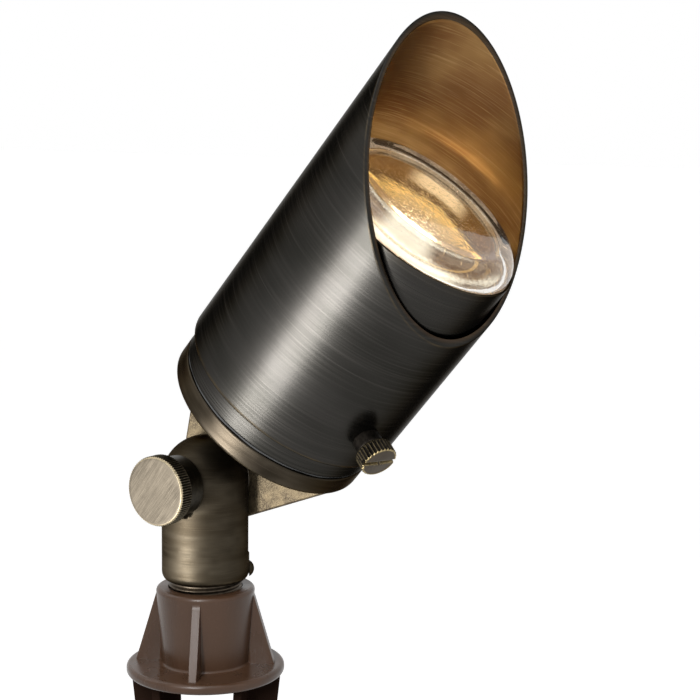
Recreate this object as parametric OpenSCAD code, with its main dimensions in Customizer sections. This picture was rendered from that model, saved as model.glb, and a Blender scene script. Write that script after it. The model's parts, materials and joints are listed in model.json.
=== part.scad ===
// Outdoor spotlight: a brass bullet head with a sliding glare guard, on a tilting knuckle and a ground stake.
// The origin is the centre of the stake flange's underside, which rests on the soil.
// +Z is up and the head leans to +X.
// In the head's own frame Z runs forward along the head, measured from the tilt pivot.

/* [Glare guard] */
// Outside diameter of the guard tube
guard_od = 63.5; // [62.5:0.5:72]
// Wall of the guard tube
guard_wall = 1.5; // [1.2:0.1:2]
// Length of the guard along its long side
guard_long = 105.2; // [90:1:125]
// Length of the guard along its short side
guard_short = 46.3; // [40:0.5:56]
// Turn of the guard about the head at rest
guard_turn = -15; // [-45:1:45]
// Distance from the collar's rear face to the guard's rear edge at rest
guard_setback = 6; // [5.5:0.5:9]
// Radial gap between the guard and the collar it slides on
guard_gap = 0.25; // [0.2:0.05:0.4]

/* [Guard screw] */
// Diameter of the knurled head
guard_screw_d = 10.1; // [8:0.1:12]
// Height of the knurled head
guard_screw_h = 4.6; // [3.5:0.1:6]
// Distance from the guard's rear edge to the screw
guard_screw_back = 11.1; // [9:0.1:14]
// Thread diameter
guard_screw_thread = 4; // [3:0.5:5]
// Outside diameter of the threaded boss on the guard
guard_boss_d = 7.6; // [7:0.1:9]
// Height of the boss above the guard
guard_boss_h = 3.4; // [2.5:0.1:4.5]
// Angle from the middle of the guard's short side to the screw
guard_screw_turn = -2.5; // [-10:0.5:10]
// Turn of the driver slot across the screw's face at rest
guard_slot_turn = 104; // [0:1:180]
// Number of teeth in the knurl
guard_knurl_teeth = 30; // [20:1:44]

/* [Housing] */
// Length of the thick rear collar
collar_len = 36.6; // [34:0.1:42]
// Length of the whole housing
housing_len = 68.1; // [66:0.1:76]
// Step from the collar down to the slimmer front tube
tube_step = 0.6; // [0.5:0.1:1.6]
// Wall of the front tube round the lens
lens_lip = 0.6; // [0.5:0.05:1.2]
// Width of the ledge behind the lens, which its gasket lies on
lens_ledge = 2.8; // [2.2:0.1:3.2]
// Depth of the counterbore that holds the lens
lens_bore_depth = 5.5; // [4.5:0.1:6.5]
// Radial room round the lamp
lamp_play = 1; // [0.6:0.1:1.4]
// Wall of the collar over the cap's thread
collar_wall = 4.3; // [3.6:0.1:5]

/* [Lens] */
// Thickness of the lens at its rim
lens_rim_h = 10.6; // [9:0.1:13]
// Radius that rounds the rim's front edge
lens_round = 6.5; // [4:0.1:7.5]
// How far the front bulges in the middle
lens_crown = 0.6; // [0.2:0.1:1.5]
// Width of the rim round the recess in the back
lens_rim_w = 5; // [3.5:0.1:8]
// Depth of that recess
lens_recess_h = 3; // [1:0.1:4]
// Thickness of the gasket under the lens
lens_gasket_h = 0.8; // [0.5:0.1:1.5]

/* [Rear cap] */
// Elevation of the head above the horizon at rest
head_tilt = 49.7; // [40:0.1:60]
// Sideways distance from the knuckle's axis to the head's axis
head_side = 8.55; // [8.3:0.05:9.2]
// Distance from the tilt pivot to the cap's back
cap_back = 24.4; // [23:0.1:28]
// Step from the collar in to the cap
cap_step = 0; // [0:0.1:1]
// Thickness of the cap's visible rim
cap_h = 6.3; // [5.5:0.1:8]
// Thickness of the cap's floor
cap_floor = 4; // [3:0.1:4.5]
// Radius that rounds the cap's back edge
cap_round = 1.1; // [0.5:0.1:2]
// Length of the threaded spigot inside the housing
spigot_len = 8; // [6:0.1:10]
// Wall of the spigot
spigot_wall = 3.6; // [2:0.1:4.6]
// Thickness of the rubber gasket between cap and collar
cap_gasket_h = 0.75; // [0.5:0.05:1.2]
// How far that gasket lies below the surface
cap_gasket_inset = 0.5; // [0.2:0.1:1]
// Radius of the fin's round end about the pivot
fin_eye_r = 13.8; // [13:0.1:14.5]
// Angle at which each side of the fin flares out
fin_flare = 28.9; // [24:0.1:30]
// Thickness of the fin
fin_t = 5.6; // [5.2:0.1:6.2]
// Distance from the pivot to the lead channel in the fin
channel_off = 6.6; // [6.4:0.1:7]
// Diameter of the lead channel in the fin
channel_d = 3.8; // [3.6:0.1:4]

/* [Knuckle] */
// Diameter of the knuckle
knuckle_d = 24.8; // [24:0.1:27]
// Distance from the tilt pivot to the knuckle's foot
knuckle_foot = 28.75; // [28:0.1:32]
// Height of the rounding at the knuckle's foot
foot_round_h = 2.4; // [1.5:0.1:3]
// Width of that rounding
foot_round_w = 1.5; // [0.8:0.1:1.6]
// Depth of the half lap's flat below the pivot
lap_depth = 21.2; // [20:0.1:21.5]
// Thickness of the friction washer in the half lap
washer_h = 0.45; // [0.3:0.05:0.8]
// Depth of the thread that takes the nipple
nipple_seat = 6.2; // [5:0.1:6.4]
// Diameter of the wire way up the knuckle
wire_way_d = 12; // [11.6:0.1:12.2]
// Wall between the wire way and the half lap
lap_wall = 0.8; // [0.6:0.1:1]

/* [Tilt screw] */
// Diameter of the knurled head
tilt_screw_d = 19.4; // [16:0.1:22]
// Height of the knurled head
tilt_screw_h = 4.6; // [3.5:0.1:6]
// Distance from the knuckle's axis to the screw's bare face
tilt_screw_out = 22.2; // [21:0.1:25]
// Diameter of the smooth shoulder behind the knurl
tilt_shoulder_d = 16.8; // [13:0.1:18]
// Thread diameter
tilt_thread = 6; // [5:0.1:6.2]
// Number of teeth in the knurl
knurl_teeth = 84; // [60:1:110]
// Width across the flats of the nut behind the fin
tilt_nut_w = 10; // [9:0.5:11]
// Height of that nut
tilt_nut_h = 3.2; // [2.5:0.1:5]

/* [Nipple] */
// Outside diameter over the thread
nipple_d = 20.9; // [20.6:0.1:21.3]
// Bore of the nipple
nipple_id = 14; // [13.6:0.1:14.6]
// Thread pitch, fourteen to the inch
nipple_pitch = 1.814; // [1.4:0.001:2.3]
// Depth of the thread
nipple_thread_h = 0.7; // [0.4:0.1:1]
// Bare nipple showing between knuckle and stake
nipple_show = 2.3; // [1:0.1:5]
// Length screwed into the stake
nipple_in_stake = 16; // [12:0.5:20]

/* [Set screw] */
// Diameter of its head
set_head_d = 4.6; // [4:0.1:4.8]
// How far the head stands proud
set_head_h = 1.4; // [1:0.1:2]
// Thread diameter
set_thread = 3; // [2.5:0.1:3]
// Height above the knuckle's foot
set_up = 2.4; // [2.3:0.05:3.2]
// Direction round the knuckle, from +X towards +Y
set_turn = 40; // [20:1:60]

/* [Ground stake] */
// Turn of the stake on the thread
stake_turn = 27.6; // [0:0.1:90]
// Height of the hub above the soil
hub_h = 25.2; // [22:0.1:30]
// Diameter of the hub at its top
hub_top_d = 28.2; // [27:0.1:31]
// Diameter of the hub at the flange
hub_low_d = 25; // [24.4:0.1:27]
// Diameter of the flange
flange_d = 45; // [42:0.5:52]
// Thickness of the flange
flange_h = 3; // [2.4:0.1:4]
// Radius that rounds the flange's edge and the hub's top
stake_round = 1.2; // [0.6:0.1:1.4]
// Reach of the four gussets from the stake's axis
gusset_reach = 20; // [18:0.5:20.5]
// Thickness of the stake's ribs and plates
rib_t = 2.4; // [2:0.1:3]
// Depth of the spike below the soil
spike_len = 200; // [170:5:240]
// Distance from the stake's axis to each outer edge of the legs, at the top
leg_reach = 21.6; // [20.5:0.1:22]
// Distance from the axis to the two cross plates, at the top
plate_off = 11.7; // [11:0.1:13]
// Half width of the cross plates, at the top
plate_reach = 14.2; // [13:0.1:16]
// Depth of the cable window below the flange
window_h = 46; // [40:1:60]

/* [Lamp] */
// Length of the lamp from its front to its base
lamp_len = 44; // [42:0.5:46]
// Diameter of the lamp's neck
lamp_neck_d = 19; // [17:0.5:21]
// Height of the neck and base
lamp_neck_h = 8.4; // [7:0.1:10]
// Wall of the reflector
lamp_wall = 1.6; // [1.2:0.1:2]
// Thickness of the lamp's cover glass
lamp_cover_h = 1.8; // [1.2:0.1:2.5]
// Diameter of the light capsule
capsule_d = 9; // [7:0.5:11]
// Length of the light capsule
capsule_h = 15; // [10:0.5:18]
// Spacing of the two pins
pin_gap = 5.3; // [5:0.1:5.6]
// Diameter of a pin
pin_d = 1.55; // [1.4:0.05:1.65]
// Length of a pin
pin_len = 7; // [6:0.1:7.5]

/* [Lamp holder] */
// Width of the holder
holder_w = 17; // [16:0.5:18.5]
// Depth of the holder
holder_d = 10; // [9:0.1:12]
// Height of the holder
holder_h = 9; // [8.5:0.1:10]
// Length of the bracket
bracket_len = 34; // [32:0.5:36]
// Thickness of the bracket
bracket_t = 1; // [0.8:0.1:1.5]
// Spacing of the two bracket screws
bracket_holes = 26; // [25:0.5:28]
// Diameter of the bracket screws
bracket_screw_d = 3; // [2.5:0.1:3.2]
// Diameter of one insulated lead
lead_d = 1.5; // [1.2:0.05:1.55]

/* [Hidden] */
$fn = 96;
eps = 0.01;
// How far a cutter runs past what it cuts
over = 1;
// Clearance of a turned or sliding fit, of loose pieces, of seals and of moulded pieces
run_gap = 0.06;
part_gap = 0.3;
seal_gap = 0.15;
// Bevel on turned edges
edge = 0.4;
// Depth of the two knurls
knurl_depth = 0.35;
guard_knurl_depth = 0.45;
// Width and depth of the driver slots
slot_w = 0.7;
slot_h = 0.8;
guard_slot_w = 1;
guard_slot_h = 1.2;
// The ring in the collar's groove
oring_d = 1.9;
oring_gap = 0.1;
oring_groove_w = 2.3;
oring_from_front = 2.5;
// Height of the bosses and depth of the blind holes inside the cap
bracket_stand = 7;
blind_wall = 1.4;
// How far the pins go into the lamp's base
pin_in_base = 3;
// Wall of the grommet and width of its lip
grommet_wall = 0.8;
grommet_lip = 0.8;
// Half the gap between the two leads, and the room beside them in the knuckle's slot
lead_apart = 0.1;
way_play = 0.25;

// Rows along the head, from the pivot
cap_front = cap_back + cap_h;
collar_rear = cap_front + cap_gasket_h;
collar_front = collar_rear + collar_len;
housing_front = collar_rear + housing_len;
lens_seat = housing_front - lens_bore_depth;
lens_back = lens_seat + lens_gasket_h;
floor_front = cap_back + cap_floor;
bracket_back = floor_front + bracket_stand;
holder_back = bracket_back + bracket_t;
lamp_back = holder_back + holder_h + part_gap;
lamp_front = lamp_back + lamp_len;
guard_rear = collar_rear + guard_setback;
guard_screw_u = guard_rear + guard_screw_back;
oring_u = collar_front - oring_from_front;

// Radii, from the guard inwards
guard_r = guard_od / 2;
guard_in = guard_r - guard_wall;
collar_r = guard_in - guard_gap;
cap_r = collar_r - cap_step;
tube_r = collar_r - tube_step;
lens_bore_r = tube_r - lens_lip;
lens_r = lens_bore_r - seal_gap;
lamp_bore_r = lens_bore_r - lens_ledge;
lamp_d = 2 * (lamp_bore_r - lamp_play);
cap_bore_r = collar_r - collar_wall;
spigot_r = cap_bore_r - run_gap;
spigot_in = spigot_r - spigot_wall;
oring_mid = guard_in - oring_gap - oring_d / 2;
knuckle_r = knuckle_d / 2;
nipple_r = nipple_d / 2;
lead_hole_r = lead_d / 2 + run_gap;
grommet_r = channel_d / 2 + grommet_wall;

// Heights over the soil
foot_z = hub_h + nipple_show;
pivot_z = foot_z + knuckle_foot;

// Half lap, in the knuckle's frame
fin_face = head_side - fin_t / 2;
fin_back = head_side + fin_t / 2;
lap_y = fin_face - washer_h;
lap_half = sqrt(knuckle_r * knuckle_r - lap_y * lap_y);
// Slope of the lap's shoulder and depth of the spot face under the tilt screw
lap_fall = 9.5;
spot_h = 1;
shoulder_y = spot_h - knuckle_r;

// Wire way in the knuckle, and the slot that lets the leads follow the tilt
way_x = 1.5;
way_y = lap_y - lap_wall - wire_way_d / 2;
way_roof = 1.6;
way_top = -(tilt_thread / 2 + way_roof);
way_half = channel_d / 2 + way_play;
slot_low = -46;
slot_high = 75;

// The two supply leads, side by side
lead_pitch = lead_d / 2 + lead_apart;
bend_r = 2.2;
lead_run = 2.6;
lead_turn = head_tilt - 90;
lead_x = channel_off * cos(lead_turn);
lead_y = lap_y - lead_run - bend_r;
lead_z = channel_off * sin(lead_turn);
lead_tail = 2;

// Points on an arc about [x, y], from angle a to angle b
function arc(x, y, r, a, b, n = 8) =
    [for (i = [0 : n], q = [a + (b - a) * i / n]) [x + r * cos(q), y + r * sin(q)]];

// Outline of a knurled disc: teeth V-cuts round a circle
function knurl(r, depth, teeth) = [for (i = [0 : 2 * teeth - 1])
    let (q = 180 * i / teeth, s = i % 2 == 0 ? r : r - depth) [s * cos(q), s * sin(q)]];

module at_pivot() {
    translate([0, 0, pivot_z]) children();
}

// The head's frame: Z forward along the head, X on its underside, Y as the tilt axis
module in_head() {
    at_pivot() translate([0, head_side, 0]) rotate([0, 90 - head_tilt, 0]) children();
}

// The guard's frame: the head's frame turned so that the guard's short side is at +X
module in_guard() {
    in_head() rotate([0, 0, guard_turn]) children();
}

// Along +Y, from y = a to y = b
module along_y(a, b, r) {
    translate([0, a, 0]) rotate([-90, 0, 0]) cylinder(h = b - a, r = r);
}

module stake_body() {
    // Hub, with its top edge rounded, and flange, with both edges rounded
    rotate_extrude() polygon(concat(
        [[0, 0]],
        arc(flange_d / 2 - stake_round, stake_round, stake_round, -90, 0),
        arc(flange_d / 2 - stake_round, flange_h - stake_round, stake_round, 0, 90),
        [[hub_low_d / 2, flange_h]],
        arc(hub_top_d / 2 - stake_round, hub_h - stake_round, stake_round, 0, 90),
        [[0, hub_h]]
    ));
    // Four gussets from under the hub's rounded top down to the flange
    inner = (hub_low_d / 2 + nipple_r) / 2;
    top = hub_h - 2 * stake_round;
    for (q = [0 : 90 : 270]) rotate([0, 0, q]) rotate([90, 0, 0])
        linear_extrude(height = rib_t, center = true) polygon([
            [inner, flange_h - eps], [gusset_reach, flange_h - eps],
            [hub_top_d / 2, top - eps], [inner, top]]);
}

// Half width w of the legs at depth z below the soil, narrowing to the point
function taper(w, z) = w * (spike_len - z) / spike_len;

module spike() {
    window_top = plate_off - rib_t / 4;
    window_low = taper(plate_off, window_h) - rib_t / 2;
    // The panel that carries both legs, with the cable window between them
    rotate([90, 0, 0]) linear_extrude(height = rib_t, center = true) difference() {
        polygon([[-leg_reach, eps], [leg_reach, eps], [rib_t / 2, -spike_len], [-rib_t / 2, -spike_len]]);
        polygon([[-window_top, over], [window_top, over], [window_low, -window_h], [-window_low, -window_h]]);
    }
    // The two cross plates, closing in on each other towards the point
    intersection() {
        rotate([90, 0, 0]) linear_extrude(height = 2 * plate_reach, center = true) for (s = [-1, 1])
            polygon([[s * (plate_off - rib_t / 2), eps], [s * (plate_off + rib_t / 2), eps],
                [s * rib_t, -spike_len], [0, -spike_len]]);
        rotate([90, 0, 90]) linear_extrude(height = 2 * leg_reach, center = true)
            polygon([[-plate_reach, over], [plate_reach, over],
                [rib_t / 2, -spike_len], [-rib_t / 2, -spike_len]]);
    }
}

module ground_stake() {
    seat_z = hub_h - nipple_in_stake - over;
    color([0.24, 0.13, 0.10]) rotate([0, 0, stake_turn]) difference() {
        union() {
            stake_body();
            spike();
        }
        // Threaded seat for the nipple, and the leads' way down to the cable window
        translate([0, 0, seat_z]) cylinder(h = hub_h - seat_z + over, r = nipple_r + run_gap);
        translate([0, 0, -over]) cylinder(h = hub_h, r = nipple_id / 2);
    }
}

module threaded_nipple() {
    bottom = hub_h - nipple_in_stake;
    top = foot_z + nipple_seat - part_gap;
    turns = floor((top - bottom) / nipple_pitch);
    root_r = nipple_r - nipple_thread_h;
    // Each thread as shares of its pitch: up a flank, along the crest and down a flank
    crest = [[0.06, root_r], [0.44, nipple_r], [0.56, nipple_r], [0.94, root_r]];
    color([0.10, 0.08, 0.07]) rotate_extrude() polygon(concat(
        [[nipple_id / 2, bottom], [root_r, bottom]],
        [for (i = [0 : turns - 1], c = crest) [c[1], bottom + (i + c[0]) * nipple_pitch]],
        [[root_r, top], [nipple_id / 2, top]]
    ));
}

module knuckle_stem() {
    far = 2 * knuckle_r;
    color([0.42, 0.34, 0.24]) at_pivot() difference() {
        union() {
            sphere(r = knuckle_r);
            // The stem, with its foot rounded
            rotate_extrude() polygon(concat(
                [[0, 0], [0, -knuckle_foot]],
                [for (i = [0 : 8]) [knuckle_r - foot_round_w * (1 - sin(90 * i / 8)),
                    -knuckle_foot + foot_round_h * (1 - cos(90 * i / 8))]],
                [[knuckle_r, 0]]
            ));
        }
        // The half lap: a flat on the far side, ending in a sloping shoulder
        rotate([90, 0, 90]) linear_extrude(height = 2 * far, center = true)
            polygon([[lap_y, -lap_depth], [far, -lap_depth - (far - lap_y) * tan(lap_fall)],
                [far, far], [lap_y, far]]);
        // Spot face under the tilt screw's shoulder, and the screw's hole
        along_y(-far, shoulder_y, tilt_shoulder_d / 2 + part_gap);
        along_y(-far, far, tilt_thread / 2 + part_gap);
        // Thread for the nipple, and the way for the leads above it
        translate([0, 0, -knuckle_foot - over]) cylinder(h = nipple_seat + over, r = nipple_r + run_gap);
        translate([way_x, way_y, over - knuckle_foot])
            cylinder(h = knuckle_foot - over + way_top, r = wire_way_d / 2);
        // The leads' slot, an arc about the tilt axis
        rotate([-90, 0, 0]) translate([0, 0, lead_y - bend_r / 2]) rotate([0, 0, -lead_turn - slot_high])
            rotate_extrude(angle = slot_high - slot_low)
                translate([channel_off - way_half, 0]) square([2 * way_half, knuckle_r]);
        // Hole for the set screw
        rotate([0, 0, set_turn]) translate([0, 0, set_up - knuckle_foot]) rotate([0, 90, 0])
            cylinder(h = far, r = set_thread / 2 + run_gap);
    }
}

module set_screw() {
    dome_r = (set_head_d * set_head_d / 4 + set_head_h * set_head_h) / (2 * set_head_h);
    color([0.30, 0.24, 0.16]) at_pivot() rotate([0, 0, set_turn]) translate([0, 0, set_up - knuckle_foot])
        rotate([0, 90, 0]) difference() {
            union() {
                translate([0, 0, nipple_r + 2 * run_gap])
                    cylinder(h = knuckle_r - nipple_r, r = set_thread / 2);
                intersection() {
                    translate([0, 0, knuckle_r]) cylinder(h = set_head_h, r = set_head_d / 2);
                    translate([0, 0, knuckle_r + set_head_h - dome_r]) sphere(r = dome_r);
                }
            }
            translate([0, 0, knuckle_r + set_head_h - slot_h]) slot_cutter(set_head_d, slot_w);
        }
}

// A driver slot's cutter, standing on the slot's floor
module slot_cutter(d, w) {
    translate([-d / 2 - over, -w / 2, 0]) cube([d + 2 * over, w, 2 * over]);
}

module friction_washer() {
    inner = channel_off + way_half + part_gap;
    color([0.75, 0.74, 0.70]) at_pivot() difference() {
        along_y(lap_y, fin_face, lap_half - part_gap / 2);
        along_y(lap_y - over, fin_face + over, inner);
    }
}

// Two leads side by side, up the nipple and knuckle and round a bend to the half lap
module supply_leads() {
    low = hub_h - nipple_in_stake + lead_tail - pivot_z;
    color([0.08, 0.08, 0.08]) at_pivot() for (s = [-1, 1]) translate([lead_x + s * lead_pitch, 0, 0]) {
        translate([0, lead_y, low]) cylinder(h = lead_z - bend_r - low + eps, r = lead_d / 2);
        translate([0, lead_y + bend_r, lead_z - bend_r]) rotate([0, -90, 0])
            rotate([0, 0, -90]) rotate_extrude(angle = 90) translate([bend_r, 0]) circle(r = lead_d / 2);
        translate([0, 0, lead_z]) along_y(lead_y + bend_r - eps, lap_y, lead_d / 2);
    }
}

// A knurled head standing on z = 0, with its back edge bevelled by b and its face by c
module knurled_head(d, h, depth, teeth, b, c) {
    intersection() {
        linear_extrude(height = h) polygon(knurl(d / 2, depth, teeth));
        rotate_extrude() polygon([[0, 0], [d / 2 - b, 0], [d / 2 + eps, b],
            [d / 2 + eps, h - c], [d / 2 - c, h], [0, h]]);
    }
}

module tilt_thumb_screw() {
    color([0.62, 0.54, 0.38]) at_pivot() {
        translate([0, -tilt_screw_out, 0]) rotate([-90, 0, 0])
            knurled_head(tilt_screw_d, tilt_screw_h, knurl_depth, knurl_teeth, edge, edge);
        // Smooth shoulder, and the threaded shank that is the tilt axis
        along_y(-tilt_screw_out + tilt_screw_h / 2, shoulder_y - eps, tilt_shoulder_d / 2);
        along_y(shoulder_y - over, fin_back + tilt_nut_h + spot_h, tilt_thread / 2);
    }
}

module tilt_lock_nut() {
    color([0.55, 0.47, 0.32]) at_pivot() translate([0, fin_back, 0]) rotate([-90, 0, 0]) difference() {
        cylinder(h = tilt_nut_h, r = tilt_nut_w / sqrt(3), $fn = 6);
        translate([0, 0, -over]) cylinder(h = tilt_nut_h + 2 * over, r = tilt_thread / 2 + run_gap);
    }
}

// The fin's outline across the head, from the eye at the pivot to the cap's rounded edge
module fin_outline() {
    side_x = fin_eye_r * cos(fin_flare);
    side_z = -fin_eye_r * sin(fin_flare);
    top = cap_back + cap_round;
    circle(r = fin_eye_r);
    intersection() {
        reach = side_x + (top - side_z) * tan(fin_flare);
        polygon([[-side_x, side_z], [side_x, side_z], [reach, top], [-reach, top]]);
        translate([cap_round - cap_r, -cap_r]) square(2 * (cap_r - cap_round));
    }
}

module rear_cap() {
    color([0.50, 0.42, 0.29]) in_head() difference() {
        union() {
            // Turned cap with its rounded back edge and the spigot that screws into the housing
            rotate_extrude() polygon(concat(
                [[0, cap_back]],
                arc(cap_r - cap_round, cap_back + cap_round, cap_round, -90, 0),
                [[cap_r, cap_front - edge], [cap_r - edge, cap_front], [spigot_r, cap_front],
                    [spigot_r, cap_front + spigot_len], [spigot_in, cap_front + spigot_len],
                    [spigot_in, floor_front], [0, floor_front]]
            ));
            // The fin, and the bosses that carry the lamp holder's bracket
            rotate([90, 0, 0]) linear_extrude(height = fin_t, center = true) fin_outline();
            for (s = [-1, 1]) translate([0, s * bracket_holes / 2, floor_front - eps])
                cylinder(h = bracket_stand + eps, r = bracket_screw_d);
        }
        // Pivot hole, then the leads' channel, its mouth in the half lap and its seat for the grommet
        translate([0, -head_side, 0]) along_y(fin_face - over, fin_back + over, tilt_thread / 2 + run_gap);
        translate([channel_off, 0, 0]) {
            cylinder(h = cap_back + over, r = channel_d / 2);
            along_y(-fin_t, 0, channel_d / 2);
            sphere(r = channel_d / 2);
            translate([0, 0, cap_back]) cylinder(h = cap_floor + over, r = grommet_r);
        }
        // Blind holes for the bracket's screws
        for (s = [-1, 1]) translate([0, s * bracket_holes / 2, cap_back + blind_wall])
            cylinder(h = bracket_back, r = bracket_screw_d / 2 + run_gap);
    }
}

module cap_gasket() {
    color([0.05, 0.05, 0.05]) in_head() translate([0, 0, cap_front]) difference() {
        cylinder(h = cap_gasket_h, r = cap_r - cap_gasket_inset);
        translate([0, 0, -over]) cylinder(h = cap_gasket_h + 2 * over, r = spigot_r + seal_gap);
    }
}

// Thick collar with the ring's groove, then the slimmer tube with the lens's counterbore
module housing_body() {
    groove_r = oring_mid - oring_d / 2 - oring_gap;
    groove_rear = oring_u - oring_groove_w / 2;
    groove_front = oring_u + oring_groove_w / 2;
    step_u = cap_front + spigot_len + over;
    color([0.16, 0.15, 0.14]) in_head() rotate_extrude() polygon([
        [cap_bore_r, collar_rear], [collar_r - edge, collar_rear], [collar_r, collar_rear + edge],
        [collar_r, groove_rear], [groove_r, groove_rear], [groove_r, groove_front], [collar_r, groove_front],
        [collar_r, collar_front - edge], [collar_r - edge, collar_front], [tube_r, collar_front],
        [tube_r, housing_front - edge / 2], [tube_r - edge / 2, housing_front],
        [lens_bore_r, housing_front], [lens_bore_r, lens_seat], [lamp_bore_r, lens_seat],
        [lamp_bore_r, step_u + over], [cap_bore_r, step_u]
    ]);
}

module guard_o_ring() {
    color([0.06, 0.06, 0.06]) in_head() translate([0, 0, oring_u]) rotate_extrude()
        translate([oring_mid, 0]) circle(r = oring_d / 2);
}

// Children along the guard screw's axis, Z outwards
module at_guard_screw() {
    in_guard() translate([0, 0, guard_screw_u])
        rotate([0, 0, guard_screw_turn]) rotate([0, 90, 0]) children();
}

module glare_guard() {
    slope = atan((guard_long - guard_short) / guard_od);
    color([0.17, 0.16, 0.15]) difference() {
        in_guard() difference() {
            translate([0, 0, guard_rear]) cylinder(h = guard_long + over, r = guard_r);
            translate([0, 0, guard_rear - over]) cylinder(h = guard_long + 3 * over, r = guard_in);
            // The slanted front
            translate([-guard_r, 0, guard_rear + guard_long]) rotate([0, slope, 0])
                translate([-guard_od, -guard_od, 0]) cube([4 * guard_od, 2 * guard_od, 2 * guard_od]);
        }
        at_guard_screw() cylinder(h = guard_od, r = guard_screw_thread / 2 + run_gap);
    }
}

module guard_screw_boss() {
    color([0.20, 0.18, 0.15]) difference() {
        at_guard_screw() translate([0, 0, guard_in])
            cylinder(h = guard_wall + guard_boss_h, r = guard_boss_d / 2);
        at_guard_screw() cylinder(h = guard_od, r = guard_screw_thread / 2 + run_gap);
        in_guard() translate([0, 0, guard_rear]) cylinder(h = guard_long, r = guard_r);
    }
}

module guard_thumb_screw() {
    tip = collar_r + part_gap;
    head_in = guard_r + guard_boss_h + part_gap;
    color([0.13, 0.11, 0.09]) at_guard_screw() difference() {
        union() {
            translate([0, 0, tip]) cylinder(h = head_in - tip + edge, r = guard_screw_thread / 2);
            translate([0, 0, head_in]) knurled_head(guard_screw_d, guard_screw_h, guard_knurl_depth,
                guard_knurl_teeth, edge, 2 * edge);
        }
        translate([0, 0, head_in + guard_screw_h - guard_slot_h]) rotate([0, 0, guard_slot_turn])
            slot_cutter(guard_screw_d, guard_slot_w);
    }
}

module lens() {
    front = lens_back + lens_rim_h;
    flat_r = lens_r - lens_round;
    recess_r = lens_r - lens_rim_w;
    rows = 8;
    color([0.80, 0.86, 0.88, 0.45]) in_head() rotate_extrude() polygon(concat(
        [[0, lens_back + lens_recess_h], [recess_r - edge, lens_back + lens_recess_h],
            [recess_r, lens_back], [lens_r, lens_back]],
        arc(flat_r, front - lens_round, lens_round, 0, 90),
        [for (i = [rows - 1 : -1 : 0]) [flat_r * i / rows, front + lens_crown * (1 - i * i / rows / rows)]]
    ));
}

module lens_gasket() {
    color([0.30, 0.30, 0.30]) in_head() translate([0, 0, lens_seat]) difference() {
        cylinder(h = lens_gasket_h, r = lens_r);
        translate([0, 0, -over]) cylinder(h = lens_gasket_h + 2 * over, r = lamp_bore_r);
    }
}

// The reflector bowl's outer radius at a share s of its depth, from the neck to the front
function bowl_r(s) = (lamp_neck_d + (lamp_d - lamp_neck_d) * sqrt(s)) / 2;

module lamp_reflector() {
    bowl_back = lamp_back + lamp_neck_h;
    depth = lamp_front - lamp_cover_h - bowl_back;
    rows = 16;
    inner_row = 4;
    hole_r = capsule_d / 2 + part_gap;
    shares = [for (i = [0 : rows]) i * i / rows / rows];
    color([0.78, 0.78, 0.76]) in_head() rotate_extrude() polygon(concat(
        [[hole_r, bowl_back]],
        [for (s = shares) [bowl_r(s), bowl_back + depth * s]],
        [for (i = [rows : -1 : inner_row]) [bowl_r(shares[i]) - lamp_wall, bowl_back + depth * shares[i]]],
        [[hole_r, bowl_back + lamp_wall]]
    ));
}

module lamp_cover() {
    color([0.9, 0.9, 0.85, 0.5]) in_head() translate([0, 0, lamp_front - lamp_cover_h])
        cylinder(h = lamp_cover_h, r = lamp_d / 2);
}

module lamp_capsule() {
    straight = capsule_h - capsule_d / 2;
    color([1, 0.9, 0.6]) in_head() translate([0, 0, lamp_back + lamp_neck_h]) {
        cylinder(h = straight, r = capsule_d / 2);
        translate([0, 0, straight]) sphere(r = capsule_d / 2);
    }
}

module lamp_base() {
    color([0.85, 0.83, 0.78]) in_head() translate([0, 0, lamp_back]) difference() {
        intersection() {
            cylinder(h = lamp_neck_h, r = lamp_neck_d / 2);
            translate([-lamp_neck_d / 2, -holder_d / 2, 0]) cube([lamp_neck_d, holder_d, lamp_neck_h]);
        }
        for (s = [-1, 1]) translate([0, s * pin_gap / 2, -over])
            cylinder(h = pin_in_base + 2 * over, r = pin_d / 2 + run_gap);
    }
}

module lamp_pins() {
    color([0.75, 0.75, 0.72]) in_head() for (s = [-1, 1])
        translate([0, s * pin_gap / 2, lamp_back + pin_in_base - pin_len])
            cylinder(h = pin_len, r = pin_d / 2);
}

module lamp_holder() {
    socket_h = pin_len - pin_in_base + over;
    color([0.88, 0.86, 0.80]) in_head() translate([0, 0, holder_back]) difference() {
        translate([-holder_w / 2, -holder_d / 2, 0]) cube([holder_w, holder_d, holder_h]);
        for (s = [-1, 1]) {
            translate([0, s * pin_gap / 2, holder_h - socket_h])
                cylinder(h = 2 * socket_h, r = pin_d / 2 + run_gap);
            translate([channel_off, s * lead_pitch, -over])
                cylinder(h = lead_tail + 2 * over, r = lead_hole_r);
        }
    }
}

module holder_bracket() {
    color([0.65, 0.65, 0.66]) in_head() translate([0, 0, bracket_back]) difference() {
        translate([-holder_w / 2, -bracket_len / 2, 0]) cube([holder_w, bracket_len, bracket_t]);
        for (s = [-1, 1]) translate([0, 0, -over]) {
            translate([0, s * bracket_holes / 2, 0])
                cylinder(h = bracket_t + 2 * over, r = bracket_screw_d / 2 + run_gap);
            translate([channel_off, s * lead_pitch, 0]) cylinder(h = bracket_t + 2 * over, r = lead_hole_r);
        }
    }
}

module holder_screws() {
    tip = cap_back + 1.5 * blind_wall;
    head_h = 2 * slot_h;
    color([0.70, 0.62, 0.45]) in_head() for (s = [-1, 1]) translate([0, s * bracket_holes / 2, 0])
        difference() {
            union() {
                translate([0, 0, tip]) cylinder(h = holder_back - tip + eps, r = bracket_screw_d / 2);
                translate([0, 0, holder_back]) cylinder(h = head_h, r = bracket_screw_d);
            }
            translate([0, 0, holder_back + head_h - slot_h]) slot_cutter(2 * bracket_screw_d, slot_w);
        }
}

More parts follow.
